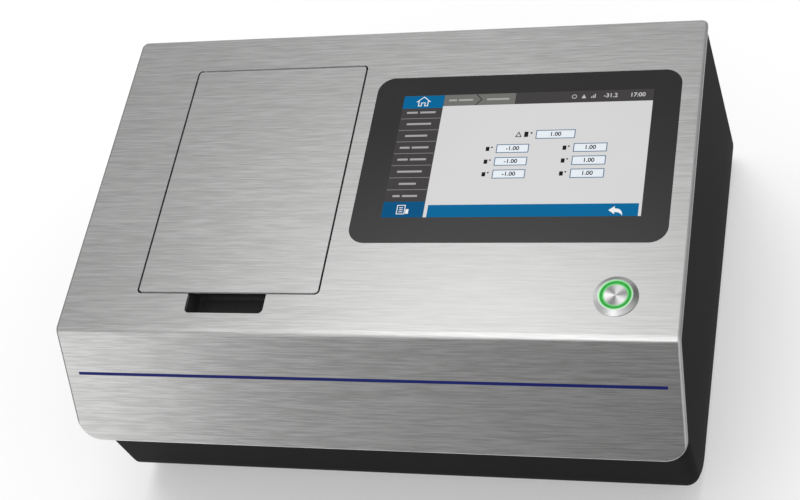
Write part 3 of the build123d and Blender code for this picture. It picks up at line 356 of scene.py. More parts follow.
# %% Measures of the bend
RIGHT, LEFT = 1.0, -1.0
CORNER = {RIGHT: 0.008, LEFT: 0.002}
STRIP = 0.0012
HALF_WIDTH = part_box("right_side_panel")[1][0]
FRONT_Y, BASE_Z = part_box("housing_wrap")[0][1:]
APRON_LEAN = math.radians(8.7)
APRON_FOOT = Vector((FOLD.y - 0.0083, BASE_Z))
BASE_BEND = 0.019
APRON_UP = Vector((-math.sin(APRON_LEAN), math.cos(APRON_LEAN)))
APRON_IN = Vector((math.cos(APRON_LEAN), math.sin(APRON_LEAN)))
BEND_AXIS = APRON_FOOT + Vector((
    BASE_BEND * (1 - math.sin(APRON_LEAN)) / math.cos(APRON_LEAN), BASE_BEND))
FADE_TOP = (0.070, 0.084)
FADE_REAR = (BEND_AXIS.x - 0.010, BEND_AXIS.x + 0.008)
print("corner radii in mm:", [round(radius / MM, 1) for radius in CORNER.values()])


# %% Where a bent point goes
SLIVER = 1e-5


def eased(value, start, end):
    """A smooth step from 0 at start to 1 at end."""
    share = min(max((value - start) / (end - start), 0.0), 1.0)
    return share * share * (3 - 2 * share)


def outer_skin(y, z):
    """The nearest place on the outside of the apron and base, the way in, and the depth there."""
    spot = Vector((y, z))
    arm = spot - BEND_AXIS
    if arm.dot(APRON_UP) >= 0:
        depth = (spot - APRON_FOOT).dot(APRON_IN)
        return spot - APRON_IN * depth, APRON_IN, depth
    if y >= BEND_AXIS.x:
        return Vector((y, BASE_Z)), Vector((0, 1)), z - BASE_Z
    inward = -arm.normalized()
    return BEND_AXIS - inward * BASE_BEND, inward, BASE_BEND - arm.length


def rounded(point):
    """Where a point of a sheet lies once the corner is bent."""
    side = math.copysign(1.0, point.x)
    foot, inward, from_front = outer_skin(point.y, point.z)
    from_side = HALF_WIDTH - abs(point.x)
    reach = CORNER[side] * (1 - eased(point.z, *FADE_TOP)) * (1 - eased(point.y, *FADE_REAR))
    depth = min(from_side, from_front)
    if reach < SLIVER or max(from_side, from_front) >= reach or depth < -SLIVER:
        return point
    radius = reach - depth
    turn = math.pi / 4 * (1 - (from_side - from_front) / radius)
    spot = foot + inward * (reach - radius * math.cos(turn))
    return Vector((side * (HALF_WIDTH - reach + radius * math.sin(turn)), spot.x, spot.y))


sharp_corner = Vector((HALF_WIDTH, *(APRON_FOOT + APRON_UP * 2 * BASE_BEND)))
pulled_in = (rounded(sharp_corner) - sharp_corner).length
print("the bend pulls the right corner in by", round(pulled_in / MM, 1), "mm")


# %% A mesh as a named piece
TOUCHING = 1e-7


def piece(name, mesh, finish, body):
    """Turns a finished bmesh into a named piece that rides on a body."""
    bmesh.ops.remove_doubles(mesh, verts=mesh.verts, dist=TOUCHING)
    bmesh.ops.recalc_face_normals(mesh, faces=mesh.faces)
    data = bpy.data.meshes.new(name)
    mesh.to_mesh(data)
    mesh.free()
    data.materials.append(finish.material)
    made = bpy.data.objects.new(name, data)
    bpy.context.scene.collection.objects.link(made)
    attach(made, body)
    print(name, len(data.polygons), "faces")
    return made


# %% Cut the sheets and bend them
FLAT_ANGLE = math.radians(0.2)
SHARP_ANGLE = math.radians(30)


def cut(mesh, place, normal, faces):
    """Cuts the chosen faces along a plane."""
    edges = {edge for face in faces for edge in face.edges}
    verts = {vert for face in faces for vert in face.verts}
    geometry = [*verts, *edges, *faces]
    bmesh.ops.bisect_plane(mesh, geom=geometry, plane_co=place, plane_no=normal, dist=TOUCHING)


def in_reach(face):
    """Whether a face lies in the part of the sheet that the bend can reach."""
    middle = face.calc_center_median()
    beside = abs(middle.x) > HALF_WIDTH - CORNER[RIGHT] - STRIP
    return middle.y < FADE_REAR[1] and middle.z < FADE_TOP[1] and beside


def cut_in_strips(mesh):
    """Cuts round the corners first, so that the strips stay inside them."""
    limits = [((0, FADE_REAR[1], 0), (0, 1, 0)), ((0, 0, FADE_TOP[1]), (0, 0, 1))]
    limits += [((side * (HALF_WIDTH - CORNER[side]), 0, 0), (1, 0, 0)) for side in CORNER]
    for place, normal in limits:
        cut(mesh, place, normal, mesh.faces[:])
    spans = (-HALF_WIDTH, HALF_WIDTH), (FRONT_Y, FADE_REAR[1]), (BASE_Z, FADE_TOP[1])
    for axis, (start, end) in enumerate(spans):
        normal = Vector([float(axis == i) for i in range(3)])
        for i in range(1, int((end - start) / STRIP)):
            spot = start + i * STRIP
            if axis or abs(spot) > HALF_WIDTH - CORNER[RIGHT]:
                cut(mesh, normal * spot, normal, [face for face in mesh.faces if in_reach(face)])


def bent_sheet(name, node):
    mesh = bmesh.new()
    mesh.from_mesh(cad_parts[node].data)
    bmesh.ops.remove_doubles(mesh, verts=mesh.verts, dist=TOUCHING)
    bmesh.ops.dissolve_limit(mesh, angle_limit=FLAT_ANGLE, verts=mesh.verts, edges=mesh.edges)
    cut_in_strips(mesh)
    for vert in mesh.verts:
        vert.co = rounded(vert.co)
    made = piece(name, mesh, coat, "chassis")
    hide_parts(node)
    made.data.shade_smooth()
    made.data.set_sharp_from_angle(angle=SHARP_ANGLE)


for node in ("housing_wrap", "left_side_panel", "right_side_panel"):
    bent_sheet("bent_" + node, node)

# %% [markdown]
# ## Moulded black plastic and rubber
# The sample tray, the lid's liner and the finger cup are injection moulded with a fine spark-eroded
# texture, which is why they look soft and even. The feet and the seal are rubber, duller and rougher
# to the touch. A scanned texture would need its own mapping for each part. Noise in the part's own
# metres needs none, so each is one bump of fine noise over a nearly black base.

# %% Plastic and rubber
def matte_moulding(name, level, roughness, grains, depth):
    made = Finish(name, Specular_IOR_Level=0.35)
    fine, cloud = made.noise(grains), made.noise(25)
    made.shade({
        "Base Color": made.blend(cloud.step(0.3, 0.7), grey(level), grey(level * 1.3)),
        "Roughness": roughness - 0.06 + fine * 0.12,
        "Normal": made.bump(fine, depth),
    })
    return made


paint(matte_moulding("black_moulding", 0.03, 0.58, 2600, 0.000012), "sample_tray", "lid_liner")
# The finger cup gets a lighter copy of the black moulding: painted light that lifts the shade in its
# hollow.
paint(matte_moulding("black_moulding_painted_lighter", 0.05, 0.55, 2600, 0.000012), "finger_cup")
paint(matte_moulding("fine_black_moulding", 0.010, 0.42, 3800, 0.000006),
      "rocker_frame", "power_rocker", "dc_inlet", "button_switch")
paint(matte_moulding("black_rubber", 0.014, 0.75, 1500, 0.00002), "rubber_feet", "lid_gasket")

# %% [markdown]
# ## Small metal parts
# Screws, pins and spacers are zinc plated, the hinge is steel with a black oxide coat, and the port
# ring, the lens and the lamp are anodised black so that they throw no stray light. The detector and
# its bench are milled aluminium with faint cutter marks. One helper makes them all, because they
# differ only in colour, gloss and how coarse the marks of the tool are.

# %% Machined metals
MARK_DEPTH = 0.000006


def machined(name, level, roughness, marks, metallic=1.0, tint=(1, 1, 1)):
    made = Finish(name, Metallic=metallic)
    cuts, cloud = made.noise(marks), made.noise(60)
    made.shade({
        "Base Color": made.blend(cloud.step(0.25, 0.75), grey(level * 0.9, tint), grey(level, tint)),
        "Roughness": roughness - 0.05 + cuts * 0.1 + cloud * 0.05,
        "Normal": made.bump(cuts, MARK_DEPTH),
    })
    return made


paint(machined("bright_zinc", 0.62, 0.24, 1800, tint=(1, 0.995, 0.97)),
      "foot_screws", "lid_screws", "hinge_pins", "catch_magnets", "strike_plates", "sphere_posts",
      "bench_standoffs", "display_pillars", "board_standoffs", "button_nut")
paint(machined("black_oxide", 0.03, 0.38, 2200, metallic=0.6),
      "hinge_arms", "hinge_brackets", "panel_screws")
paint(machined("black_anodise", 0.022, 0.34, 3000, metallic=0.5),
      "port_ring", "lens_barrel", "lamp_module")
paint(machined("milled_aluminium", 0.58, 0.33, (60, 1600, 1600)), "detector_box", "optics_bench")
paint(machined("pressed_tin", 0.55, 0.28, (1200, 90, 1200)), "lcd_panel", "usb_port")

# %% [markdown]
# ## Sphere, port glass and boards
# Under the well sits the integrating sphere, two blocks with a matte white cavity that the lamp
# fills with light. It shows through the clear glass of the port when the lid is up. The circuit
# boards have a green mask with slightly raised copper tracks. Tracks could be modelled one by one,
# but the boards lie inside the housing, so a brick pattern whose mortar is the track will do.

# %% White lining
CHALK_RELIEF = 0.00001

lining = Finish("matte_white_lining", Specular_IOR_Level=0.2)
chalk, wash = lining.noise(1400), lining.noise(30)
lining.shade({
    "Base Color": lining.blend(wash.step(0.3, 0.7), grey(0.84, (1, 1, 0.985)), grey(0.9)),
    "Roughness": 0.85 + chalk * 0.1,
    "Normal": lining.bump(chalk, CHALK_RELIEF),
})
paint(lining, "sphere_upper", "sphere_lower")

# %% Clear glass
clear = Finish("clear_glass", Transmission_Weight=1.0, IOR=1.5)
smear = clear.noise(90)
clear.shade({
    "Base Color": clear.blend(smear.step(0.3, 0.7), grey(0.93, (0.985, 1, 0.99)), grey(0.97)),
    "Roughness": smear * 0.03,
})
paint(clear, "port_glass")

# %% Circuit boards
TRACKS = {
    "Scale": 90.0, "Mortar Size": 0.035, "Mortar Smooth": 0.2,
    "Color1": grey(0.0), "Color2": grey(0.12), "Mortar": grey(1.0),
}
BOARD_GREEN, TRACK_GREEN = (0.010, 0.085, 0.035, 1), (0.03, 0.17, 0.07, 1)
TRACK_RELIEF = 0.00004
THIRD = 0.333

mask = Finish("green_circuit_board", Specular_IOR_Level=0.5)
brick_shape = {"offset": 0.37, "squash": 0.7}
track = mask.node("ShaderNodeTexBrick", brick_shape, {"Vector": mask.place, **TRACKS})
copper = mask.vector("DOT_PRODUCT", track, (THIRD, THIRD, THIRD), out=1)
mask.shade({
    "Base Color": mask.blend(copper, BOARD_GREEN, TRACK_GREEN),
    "Roughness": 0.32 + mask.noise(400) * 0.12,
    "Normal": mask.bump(copper, TRACK_RELIEF),
})
paint(mask, "display_board", "main_board", "power_board")

# %% [markdown]
# ## Display glass
# The front glass is printed black from behind round the picture, so it is a dark, glossy sheet whose
# look comes from what it reflects. It could be clear glass with a black plate behind it, but nothing
# shows through, so a dark base is enough. A finger leaves faint smears, which only show in the
# roughness.

# %% Display glass
SMEARS, INK_GRAINS = (16, 30, 30), 700

pane = Finish("printed_glass", IOR=1.5)
smears, print_grain = pane.noise(SMEARS, detail=3), pane.noise(INK_GRAINS)
pane.shade({
    "Base Color": pane.blend(print_grain.step(0.3, 0.7), grey(0.0045), grey(0.006)),
    "Roughness": 0.1 + smears.step(0.45, 0.75) * 0.06,
})
paint(pane, "display_glass")

# %% [markdown]
# ## The lit push button
# The bezel and the cap are turned, so their scratches are rings round the button's axis and a
# highlight opens into fans. The shader's own tangent runs round the part, which is what anisotropy
# needs here, and fans of painted highlight and shade in the base colour make them stronger. The
# bezel also gets painted shade on its upper right. The rings are noise read by the distance from
# the axis. Between bezel and cap sits a ring of milky plastic with green diodes behind it. It is
# deepest green along its middle, and its light spills on to the metal beside it. A lamp inside would
# be noisy to render, so the metal gets a little emission close to the ring instead, and a painted
# green tint in its colour there.

# %% Measures of the button
BUTTON_CENTRE = FACE @ Vector((148.6, 26.0, 0.0))
RING_INSIDE, RING_OUTSIDE = 7.05 * MM, 8.8 * MM
SPILL = 1.2 * MM
PAINTED_FAN_COUNT = 3.0
PAINTED_FAN_TURN, SHADE_TURN = math.radians(216), math.radians(50)
RING_GRAINS, RING_DEPTH = 5200.0, 0.000004
PAINTED_SPILL_GREEN = (0.20, 0.42, 0.22, 1)
GREEN_SPILL = (0.15, 0.36, 0.16, 1)
print("button axis at", [round(c / MM, 1) for c in BUTTON_CENTRE])


# %% Turned metal
def from_axis(made):
    """The step from the button's axis to a point, in metres, square to the axis."""
    offset = made.vector("SUBTRACT", made.place, tuple(BUTTON_CENTRE))
    height = made.vector("DOT_PRODUCT", offset, FACE_OUT, out=1)
    lift = made.node("ShaderNodeVectorMath", {"operation": "SCALE"}, {0: FACE_OUT, "Scale": height})
    return made.vector("SUBTRACT", offset, lift)


def axis_distance(made):
    return made.vector("LENGTH", from_axis(made), out=1)


def turned(name, level, roughness, spill_from, spill_to, fans, shadow):
    made = Finish(name, Metallic=1.0, Anisotropic=0.9)
    radius = axis_distance(made)
    values = {"W": radius, "Scale": RING_GRAINS}
    rings = made.node("ShaderNodeTexNoise", {"noise_dimensions": "1D"}, values)
    right, rear, _ = made.axes(from_axis(made))
    angle = made.maths("ARCTAN2", rear, right)
    # Painted highlight and shade: fans round the axis in the base colour, and on the bezel painted
    # shade to the upper right.
    fan = made.maths("COSINE", angle * PAINTED_FAN_COUNT - PAINTED_FAN_TURN) * (0.5 * fans) + (1.0 - 0.5 * fans)
    side = 1.0 - (made.maths("COSINE", angle - SHADE_TURN) * 0.5 + 0.5) * shadow
    glow = radius.step(spill_from, spill_to)
    metal = made.blend(fan * side * (0.85 + rings * 0.3), grey(0.0), grey(level))
    # Near the ring the colour turns green, a painted spill of the ring's light.
    made.shade({
        "Base Color": made.blend(glow, metal, PAINTED_SPILL_GREEN),
        "Roughness": roughness + rings * 0.08,
        "Normal": made.bump(rings, RING_DEPTH),
        "Emission Color": made.blend(glow, grey(0.0), GREEN_SPILL),
        "Emission Strength": 1.0,
    })
    return made


bezel = turned("turned_bezel", 0.72, 0.2, RING_OUTSIDE + SPILL, RING_OUTSIDE, fans=0.05, shadow=0.5)
cap = turned("turned_cap", 0.9, 0.36, RING_INSIDE - SPILL, RING_INSIDE, fans=0.66, shadow=0.0)
paint(bezel, "button_bezel")
paint(cap, "button_cap")

# %% Ring of light
GREEN_CORE, GREEN_LIGHTER_CORE = (0.014, 0.31, 0.032, 1), (0.018, 0.35, 0.04, 1)
GREEN_EDGE = (0.16, 0.70, 0.20, 1)
RING_MIDDLE = (RING_INSIDE + RING_OUTSIDE) / 2
RING_EDGE = (0.58 * MM, 0.9 * MM)

lamp = Finish("lit_green_ring", Roughness=0.35, Specular_IOR_Level=0.15, Emission_Strength=1.0)
edge = lamp.maths("ABSOLUTE", axis_distance(lamp) - RING_MIDDLE).step(*RING_EDGE)
core = lamp.blend(lamp.noise(500).step(0.3, 0.7), GREEN_CORE, GREEN_LIGHTER_CORE)
lamp.shade({"Base Color": grey(0.02), "Emission Color": lamp.blend(edge, core, GREEN_EDGE)})
paint(lamp, "button_light_ring")

# %% [markdown]
# ## Thin plates for print and picture
# Print and picture elements are flat shapes. A texture image could carry them, but geometry stays
# sharp at any distance and can be exported with the part. Each shape becomes a closed plate, thinner
# than a hair, and shapes of one colour are one piece.

# %% Outlines and plates
def box_outline(x0, y0, x1, y1):
    return [(x0, y0), (x1, y0), (x1, y1), (x0, y1)]


def disc_outline(x, y, radius, sides=28):
    turns = [math.tau * i / sides for i in range(sides)]
    return [(x + radius * math.cos(t), y + radius * math.sin(t)) for t in turns]


def plate(mesh, matrix, outline, low, high):
    """A closed plate over an outline that runs anticlockwise."""
    under = [mesh.verts.new(matrix @ Vector((x, y, low))) for x, y in outline]
    over = [mesh.verts.new(matrix @ Vector((x, y, high))) for x, y in outline]
    mesh.faces.new(over)
    mesh.faces.new(under[::-1])
    for i, j in zip(range(len(outline)), [*range(1, len(outline)), 0]):
        mesh.faces.new((under[i], under[j], over[j], over[i]))


print("a disc has", len(disc_outline(0, 0, 1)), "corners")


# %% Lines of even width
MITRE_LIMIT = 0.3


def band(mesh, matrix, points, width, low, high):
    """A closed line of even width round a loop of points that runs anticlockwise."""
    points = [Vector(p) for p in points]
    count = len(points)
    loops = {-0.5: [], 0.5: []}
    for i, here in enumerate(points):
        before = (here - points[i - 1]).normalized()
        after = (points[(i + 1) % count] - here).normalized()
        out = Vector((before.y + after.y, -before.x - after.x)).normalized()
        reach = width / max(out.dot(Vector((after.y, -after.x))), MITRE_LIMIT)
        for side, loop in loops.items():
            spot = here + out * (side * reach)
            loop.append([mesh.verts.new(matrix @ Vector((*spot, level))) for level in (low, high)])
    inner, outer = loops[-0.5], loops[0.5]
    for i in range(count):
        j = (i + 1) % count
        mesh.faces.new((outer[i][1], outer[j][1], inner[j][1], inner[i][1]))
        mesh.faces.new((inner[i][0], inner[j][0], outer[j][0], outer[i][0]))
        mesh.faces.new((outer[i][0], outer[j][0], outer[j][1], outer[i][1]))
        mesh.faces.new((inner[j][0], inner[i][0], inner[i][1], inner[j][1]))


print("a corner's mitre is at most", round(1 / MITRE_LIMIT, 1), "widths long")

# %% Numbers
DIGIT_SHARE = 0.73
BOLDER = 0.03


def figures(mesh, matrix, text, x, y, height, low, high):
    """Plain numbers, centred, from Blender's own font."""
    curve = bpy.data.curves.new("figures", "FONT")
    curve.body, curve.size, curve.extrude = text, height / DIGIT_SHARE, (high - low) / 2
    curve.offset = BOLDER * height
    curve.align_x = curve.align_y = "CENTER"
    carrier = bpy.data.objects.new("figures", curve)
    shaped = bpy.data.meshes.new_from_object(carrier)
    shaped.transform(matrix @ Matrix.Translation((x, y, (low + high) / 2)))
    mesh.from_mesh(shaped)
    bpy.data.objects.remove(carrier)


print("digits 3 mm tall need a font size of", round(3 / DIGIT_SHARE, 2), "mm")

# %% [markdown]
# ## The picture on the display
# The display shows a plain menu: a dark column of rows, a pale page with number boxes, a blue bar and
# a status line. Each colour is a piece of its own. Words are left as short bars, as a designer does
# in a layout, and only the numbers are real. A display's light is slightly uneven, so each colour is
# emission with a slow noise in it, under a faint gloss of its own.

# %% Display colours
GLASS_VEIL = 0.004
DARKEST = 0.0005
UNEVEN = (9, 12, 12)
SHADES = {
    "dark": "464444", "page": "d9d9d9", "blue": "00699c", "tile": "005684",
    "tab": "737370", "white": "f2f2f2", "rule": "8a8a8a", "word": "a8a8a8",
    "status": "c4c4c4", "ink": "1e1e1e", "frame": "5a7590", "box": "e9f0f6",
}


def screen_colour(code):
    """A colour as a display shows it, from its six-digit code, in linear light."""
    levels = [int(code[i:i + 2], 16) / 255 for i in (0, 2, 4)]
    return [v / 12.92 if v < 0.04045 else ((v + 0.055) / 1.055) ** 2.4 for v in levels]


def lit(name, code):
    """A display colour, less the veil of light that the glass adds by reflection."""
    made = Finish(name, Specular_IOR_Level=0.04, Roughness=0.12, Emission_Strength=1.0)
    level = [max(v - GLASS_VEIL, DARKEST) for v in screen_colour(code)]
    dimmer, full = (*(0.95 * v for v in level), 1), (*level, 1)
    patches = made.noise(UNEVEN).step(0.25, 0.75)
    made.shade({"Base Color": grey(0.001), "Emission Color": made.blend(patches, dimmer, full)})
    return made


shades = {name: lit("display_" + name, code) for name, code in SHADES.items()}
print("display colours:", ", ".join(shades))

# %% [markdown]
# The layout is in millimetres of the face, so it reads like a page plan. Layers lie a few hundredths
# of a millimetre over each other, with the dark field lowest and the words on top, so that no two of
# them share a plane.

# %% Display layout
LAYER = {"field": (0.003, 0.01), "low": (0.005, 0.02), "mid": (0.008, 0.03), "top": (0.012, 0.04)}
ROW_RULES = (150.1, 141.4, 132.9, 124.2, 115.5, 106.6, 98.0)
ROW_WORDS = (
    (154.6, (8.2, 15.0), (16.6, 26.3)), (146.0, (9.5, 24.8)), (137.2, (9.9, 23.8)),
    (128.5, (8.0, 14.2), (15.6, 26.0)), (119.8, (8.0, 14.4), (15.8, 25.8)), (111.0, (9.3, 24.6)),
    (102.2, (11.9, 22.4)), (93.5, (9.5, 13.9), (15.3, 24.6)),
)
TAB_WORDS = ((33.5, 38.5), (39.6, 48.6), (57.2, 71.0))
TOTAL_BOX = ("1.00", 90.9, 133.3, 113.9, 139.1)
NUMBER_BOXES = (
    TOTAL_BOX,
    ("-1.00", 68.2, 123.6, 87.3, 129.3), ("-1.00", 68.2, 114.5, 87.3, 120.0),
    ("-1.00", 68.2, 105.4, 87.3, 111.1), ("1.00", 114.3, 123.4, 133.6, 129.1),
    ("1.00", 114.3, 114.2, 133.6, 120.1), ("1.00", 114.3, 105.1, 133.6, 111.0),
)
HOUSE = (
    (13.6, 162.9), (14.6, 163.0), (14.6, 159.6), (16.4, 159.6), (16.4, 161.9), (18.6, 161.9),
    (18.6, 159.6), (20.4, 159.6), (20.4, 163.0), (21.4, 162.9), (17.5, 166.3),
)
RETURN_ARROW = (
    (138.8, 82.5), (142.3, 79.8), (142.3, 81.2), (144.6, 80.9), (146.0, 80.0), (146.9, 78.8),
    (146.8, 80.4), (146.1, 82.1), (144.6, 83.3), (142.3, 83.7), (142.3, 85.2),
)
print("rows:", len(ROW_WORDS), "number boxes:", len(NUMBER_BOXES))


# %% A pen for one colour
class Pen:
    """Draws one colour of the picture, in one layer."""

    def __init__(self, layer):
        self.mesh = bmesh.new()
        self.low, self.high = LAYER[layer]

    def fill(self, outline):
        plate(self.mesh, FACE, outline, self.low, self.high)

    def line(self, points, width):
        band(self.mesh, FACE, points, width, self.low, self.high)

    def write(self, text, x, y, height):
        figures(self.mesh, FACE, text, x, y, height, self.low, self.high)


def screen_piece(name, shade, layer, draw):
    """One colour of the picture, drawn by a function that is handed the pen."""
    pen = Pen(layer)
    draw(pen)
    piece(name, pen.mesh, shades[shade], "chassis")


# %% Fields, page, tiles and rules
RULE_HALF = 0.2


def draw_field(pen):
    pen.fill(box_outline(4.8, 78.4, 157.5, 167.5))


def draw_page(pen):
    pen.fill(box_outline(30.4, 78.4, 157.5, 159.0))


def draw_blue(pen):
    pen.fill(box_outline(4.8, 157.8, 30.4, 167.2))
    pen.fill(box_outline(32.5, 78.4, 155.8, 87.0))


def draw_tile(pen):
    pen.fill(box_outline(4.9, 78.4, 30.2, 89.5))


def draw_tabs(pen):
    pen.fill([(30.5, 159.0), (50.0, 159.0), (53.5, 163.2), (50.0, 167.3), (30.5, 167.3)])
    pen.fill([(51.0, 159.0), (74.8, 159.0), (74.8, 167.3), (51.0, 167.3), (54.5, 163.2)])


def draw_rules(pen):
    for y in ROW_RULES:
        pen.fill(box_outline(5.2, y - RULE_HALF, 29.8, y + RULE_HALF))


screen_piece("screen_field", "dark", "field", draw_field)
screen_piece("screen_page", "page", "low", draw_page)
screen_piece("screen_blue", "blue", "mid", draw_blue)
screen_piece("screen_tile", "tile", "mid", draw_tile)
screen_piece("screen_tabs", "tab", "mid", draw_tabs)
screen_piece("screen_rules", "rule", "mid", draw_rules)

# %% Words as bars, and pictograms
WORD_HALF = 0.7
STATUS_HEIGHT = 3.0


def draw_words(pen):
    for y, *words in ROW_WORDS:
        for x0, x1 in words:
            pen.fill(box_outline(x0, y - WORD_HALF, x1, y + WORD_HALF))
    for x0, x1 in TAB_WORDS:
        pen.fill(box_outline(x0, 162.5, x1, 163.9))


def draw_status(pen):
    pen.line(disc_outline(110.6, 163.4, 1.3), 0.4)
    pen.fill([(115.0, 162.0), (117.7, 162.0), (116.35, 164.9)])
    for i in range(3):
        pen.fill(box_outline(120.7 + i, 162.0, 121.3 + i, 163.1 + 0.9 * i))
    pen.write("-31.2", 132.3, 163.5, STATUS_HEIGHT)
    pen.write("17:00", 148.3, 163.5, STATUS_HEIGHT)


def draw_symbols(pen):
    pen.line(HOUSE, 0.55)
    pen.fill(RETURN_ARROW)
    pen.line(box_outline(13.9, 80.9, 18.6, 86.9), 0.5)
    for y in (85.2, 83.8, 82.4):
        pen.fill(box_outline(15.1, y - 0.25, 17.4, y + 0.25))
    pen.fill(box_outline(19.2, 81.0, 21.0, 84.2))


screen_piece("screen_words", "word", "top", draw_words)
screen_piece("screen_status", "status", "top", draw_status)
screen_piece("screen_symbols", "white", "top", draw_symbols)

# %% Number boxes
NUMBER_HEIGHT = 2.9
FRAME_WIDTH = 0.55


def draw_boxes(pen):
    for _, *corners in NUMBER_BOXES:
        pen.fill(box_outline(*corners))


def draw_frames(pen):
    for _, *corners in NUMBER_BOXES:
        pen.line(box_outline(*corners), FRAME_WIDTH)


def draw_numbers(pen):
    """The numbers, with a square and a dot for a label, and a triangle before the total."""
    for box in NUMBER_BOXES:
        text, x0, y0, x1, y1 = box
        middle = (y0 + y1) / 2
        pen.write(text, (x0 + x1) / 2, middle, NUMBER_HEIGHT)
        if box is not TOTAL_BOX:
            pen.fill(box_outline(x0 - 6.6, middle - 1.5, x0 - 4.4, middle + 1.5))
            pen.fill(disc_outline(x0 - 3.0, middle + 1.1, 0.55))
    pen.line([(78.6, 134.9), (81.8, 134.9), (80.2, 138.1)], 0.5)
    pen.fill(box_outline(83.6, 134.6, 86.0, 138.4))
    pen.fill(disc_outline(87.9, 137.4, 0.6))


screen_piece("screen_boxes", "box", "mid", draw_boxes)
screen_piece("screen_frames", "frame", "top", draw_frames)
screen_piece("screen_numbers", "ink", "top", draw_numbers)

# %% [markdown]
# ## The blue line
# One thin navy line is screen printed along the front panel. It could be a mask in the steel's own
# shader, but screen ink lies on the brushed steel as a satin film. So it is a plate of its own, with
# a little of the steel's streak left in its gloss.

# %% Printed line
NAVY_DARK, NAVY_LIGHT = (0.006, 0.011, 0.125, 1), (0.008, 0.015, 0.15, 1)
STREAKS, STREAK_DEPTH = (14, 1500, 1500), 0.000008
FILM = (0.002, 0.03)

ink = Finish("navy_screen_ink", Specular_IOR_Level=0.12)
streak = ink.noise(STREAKS)
ink.shade({
    "Base Color": ink.blend(streak.step(0.3, 0.7), NAVY_DARK, NAVY_LIGHT),
    "Roughness": 0.35 + streak * 0.15,
    "Normal": ink.bump(streak, STREAK_DEPTH),
})
line = bmesh.new()
plate(line, PANEL, box_outline(-176.6, -30.6, 177.0, -28.6), *FILM)
piece("front_line", line, ink, "chassis")

# %% [markdown]
# ## Studio
# The instrument stands on a white table that runs out of sight. A wide lamp overhead and to the rear
# left throws its soft shadow to the front right, and a white sky fills in the rest. The camera and
# the reflections see the table a little whiter than it is lit, so that the shadow on it stays pale.

# %% Table
TABLE_REACH = 8.0
TABLE_LIFT = 0.34


def stage_sheet(name, rows, finish, **unseen):
    """A sheet over rows of two corners, which belongs to the studio."""
    sheet = bmesh.new()
    spots = [[sheet.verts.new(corner) for corner in row] for row in rows]
    for near, far in zip(spots, spots[1:]):
        sheet.faces.new((near[0], near[1], far[1], far[0]))
    data = bpy.data.meshes.new(name)
    sheet.to_mesh(data)
    sheet.free()
    data.materials.append(finish.material)
    made = bpy.data.objects.new(name, data)
    bpy.context.scene.collection.objects.link(made)
    for key, value in unseen.items():
        setattr(made, key, value)
    made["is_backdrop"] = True
    print(name, "placed")


def background_rays(nodes):
    """1 where the camera, a mirror or a glass looks at a surface, and 0 where light is gathered."""
    path = nodes.node("ShaderNodeLightPath").socket.node
    kinds = ("Is Camera Ray", "Is Glossy Ray", "Is Transmission Ray")
    camera_ray, glossy, through = (Wire(nodes, path.outputs[kind]) for kind in kinds)
    return nodes.maths("MINIMUM", camera_ray + glossy + through, 1.0)


tabletop = Finish("white_table", Roughness=0.9, Specular_IOR_Level=0.0)
tabletop.shade({"Base Color": tabletop.blend(tabletop.noise(3), grey(0.965), grey(0.975))})
paper = tabletop.node("ShaderNodeEmission", None, {"Color": grey(1.0), "Strength": 1.0})
tabletop.surface(tabletop.node("ShaderNodeMixShader", None, {
    0: background_rays(tabletop) * TABLE_LIFT,
    1: Wire(tabletop, tabletop.shader.outputs[0]),
    2: paper,
}))
table_rows = [[(x, y, 0) for x in (-TABLE_REACH, TABLE_REACH)] for y in (-TABLE_REACH, TABLE_REACH)]
stage_sheet("table", table_rows, tabletop)

# %% Sky and lamp
SKY_LIGHT = 0.69
KEY_TOWARDS = Vector((-0.146, 0.386, 0.91))
KEY_POWER = 1.35
KEY_WIDTH = math.radians(45)

world = bpy.data.worlds.new("sky")
world.use_nodes = True
world.node_tree.nodes.clear()
bpy.context.scene.world = world
sky = Nodes(world.node_tree)
fill_light = sky.node("ShaderNodeBackground", None, {"Color": grey(1.0), "Strength": SKY_LIGHT})
white = sky.node("ShaderNodeBackground", None, {"Color": grey(1.0), "Strength": 1.0})
both = sky.node("ShaderNodeMixShader", None, {0: background_rays(sky), 1: fill_light, 2: white})
sky.node("ShaderNodeOutputWorld", None, {"Surface": both})

key = bpy.data.objects.new("key_lamp", bpy.data.lights.new("key_lamp", "SUN"))
key.data.energy = KEY_POWER
key.data.angle = KEY_WIDTH
key.rotation_euler = KEY_TOWARDS.to_track_quat("Z", "Y").to_euler()
key.visible_glossy = False
bpy.context.scene.collection.objects.link(key)
bpy.context.scene.view_settings.view_transform = "Standard"
print("sky and lamp lit")

# %% [markdown]
# ## Cards for the reflections
# Steel and glass show what they mirror, so a studio shapes that apart from the light. Area lamps
# would light the table too. Three cards do it here, which are seen in reflections only.
#
# The grey ceiling has a soft bright streak that ends above the rear, and its mirror image is the glow
# on the face. The ceiling is a little brighter in front too, and darker far to the right. The dark
# cloth lies in front, bright at the left and dark at the right, and makes the front panel fall away
# from silver to grey. A place on the cloth is seen in the panel where the way from it to the eye's
# mirror image crosses the panel, so the shade is even along each line of a fan that meets there.
# The grey mat lies at the right, and tones down what the right side mirrors.

# %% Grey ceiling
MIRROR_ONLY = {
    "visible_camera": False, "visible_diffuse": False, "visible_shadow": False,
    "visible_transmission": False, "visible_volume_scatter": False,
}
CEILING_HEIGHT, CEILING_REACH = 2.0, 4.0
CEILING_GREY, STREAK_GLOW, FRONT_GLOW = 0.56, 1.3, 0.35
STREAK_END, STREAK_SIZE = (-0.47, 0.69, CEILING_HEIGHT), (0.36, 0.21, 1.0)
FRONT_FROM, FRONT_ACROSS = (0.6, 0.2), (-0.75, -0.35)
DARKER_ACROSS = (0.5, 2.4)

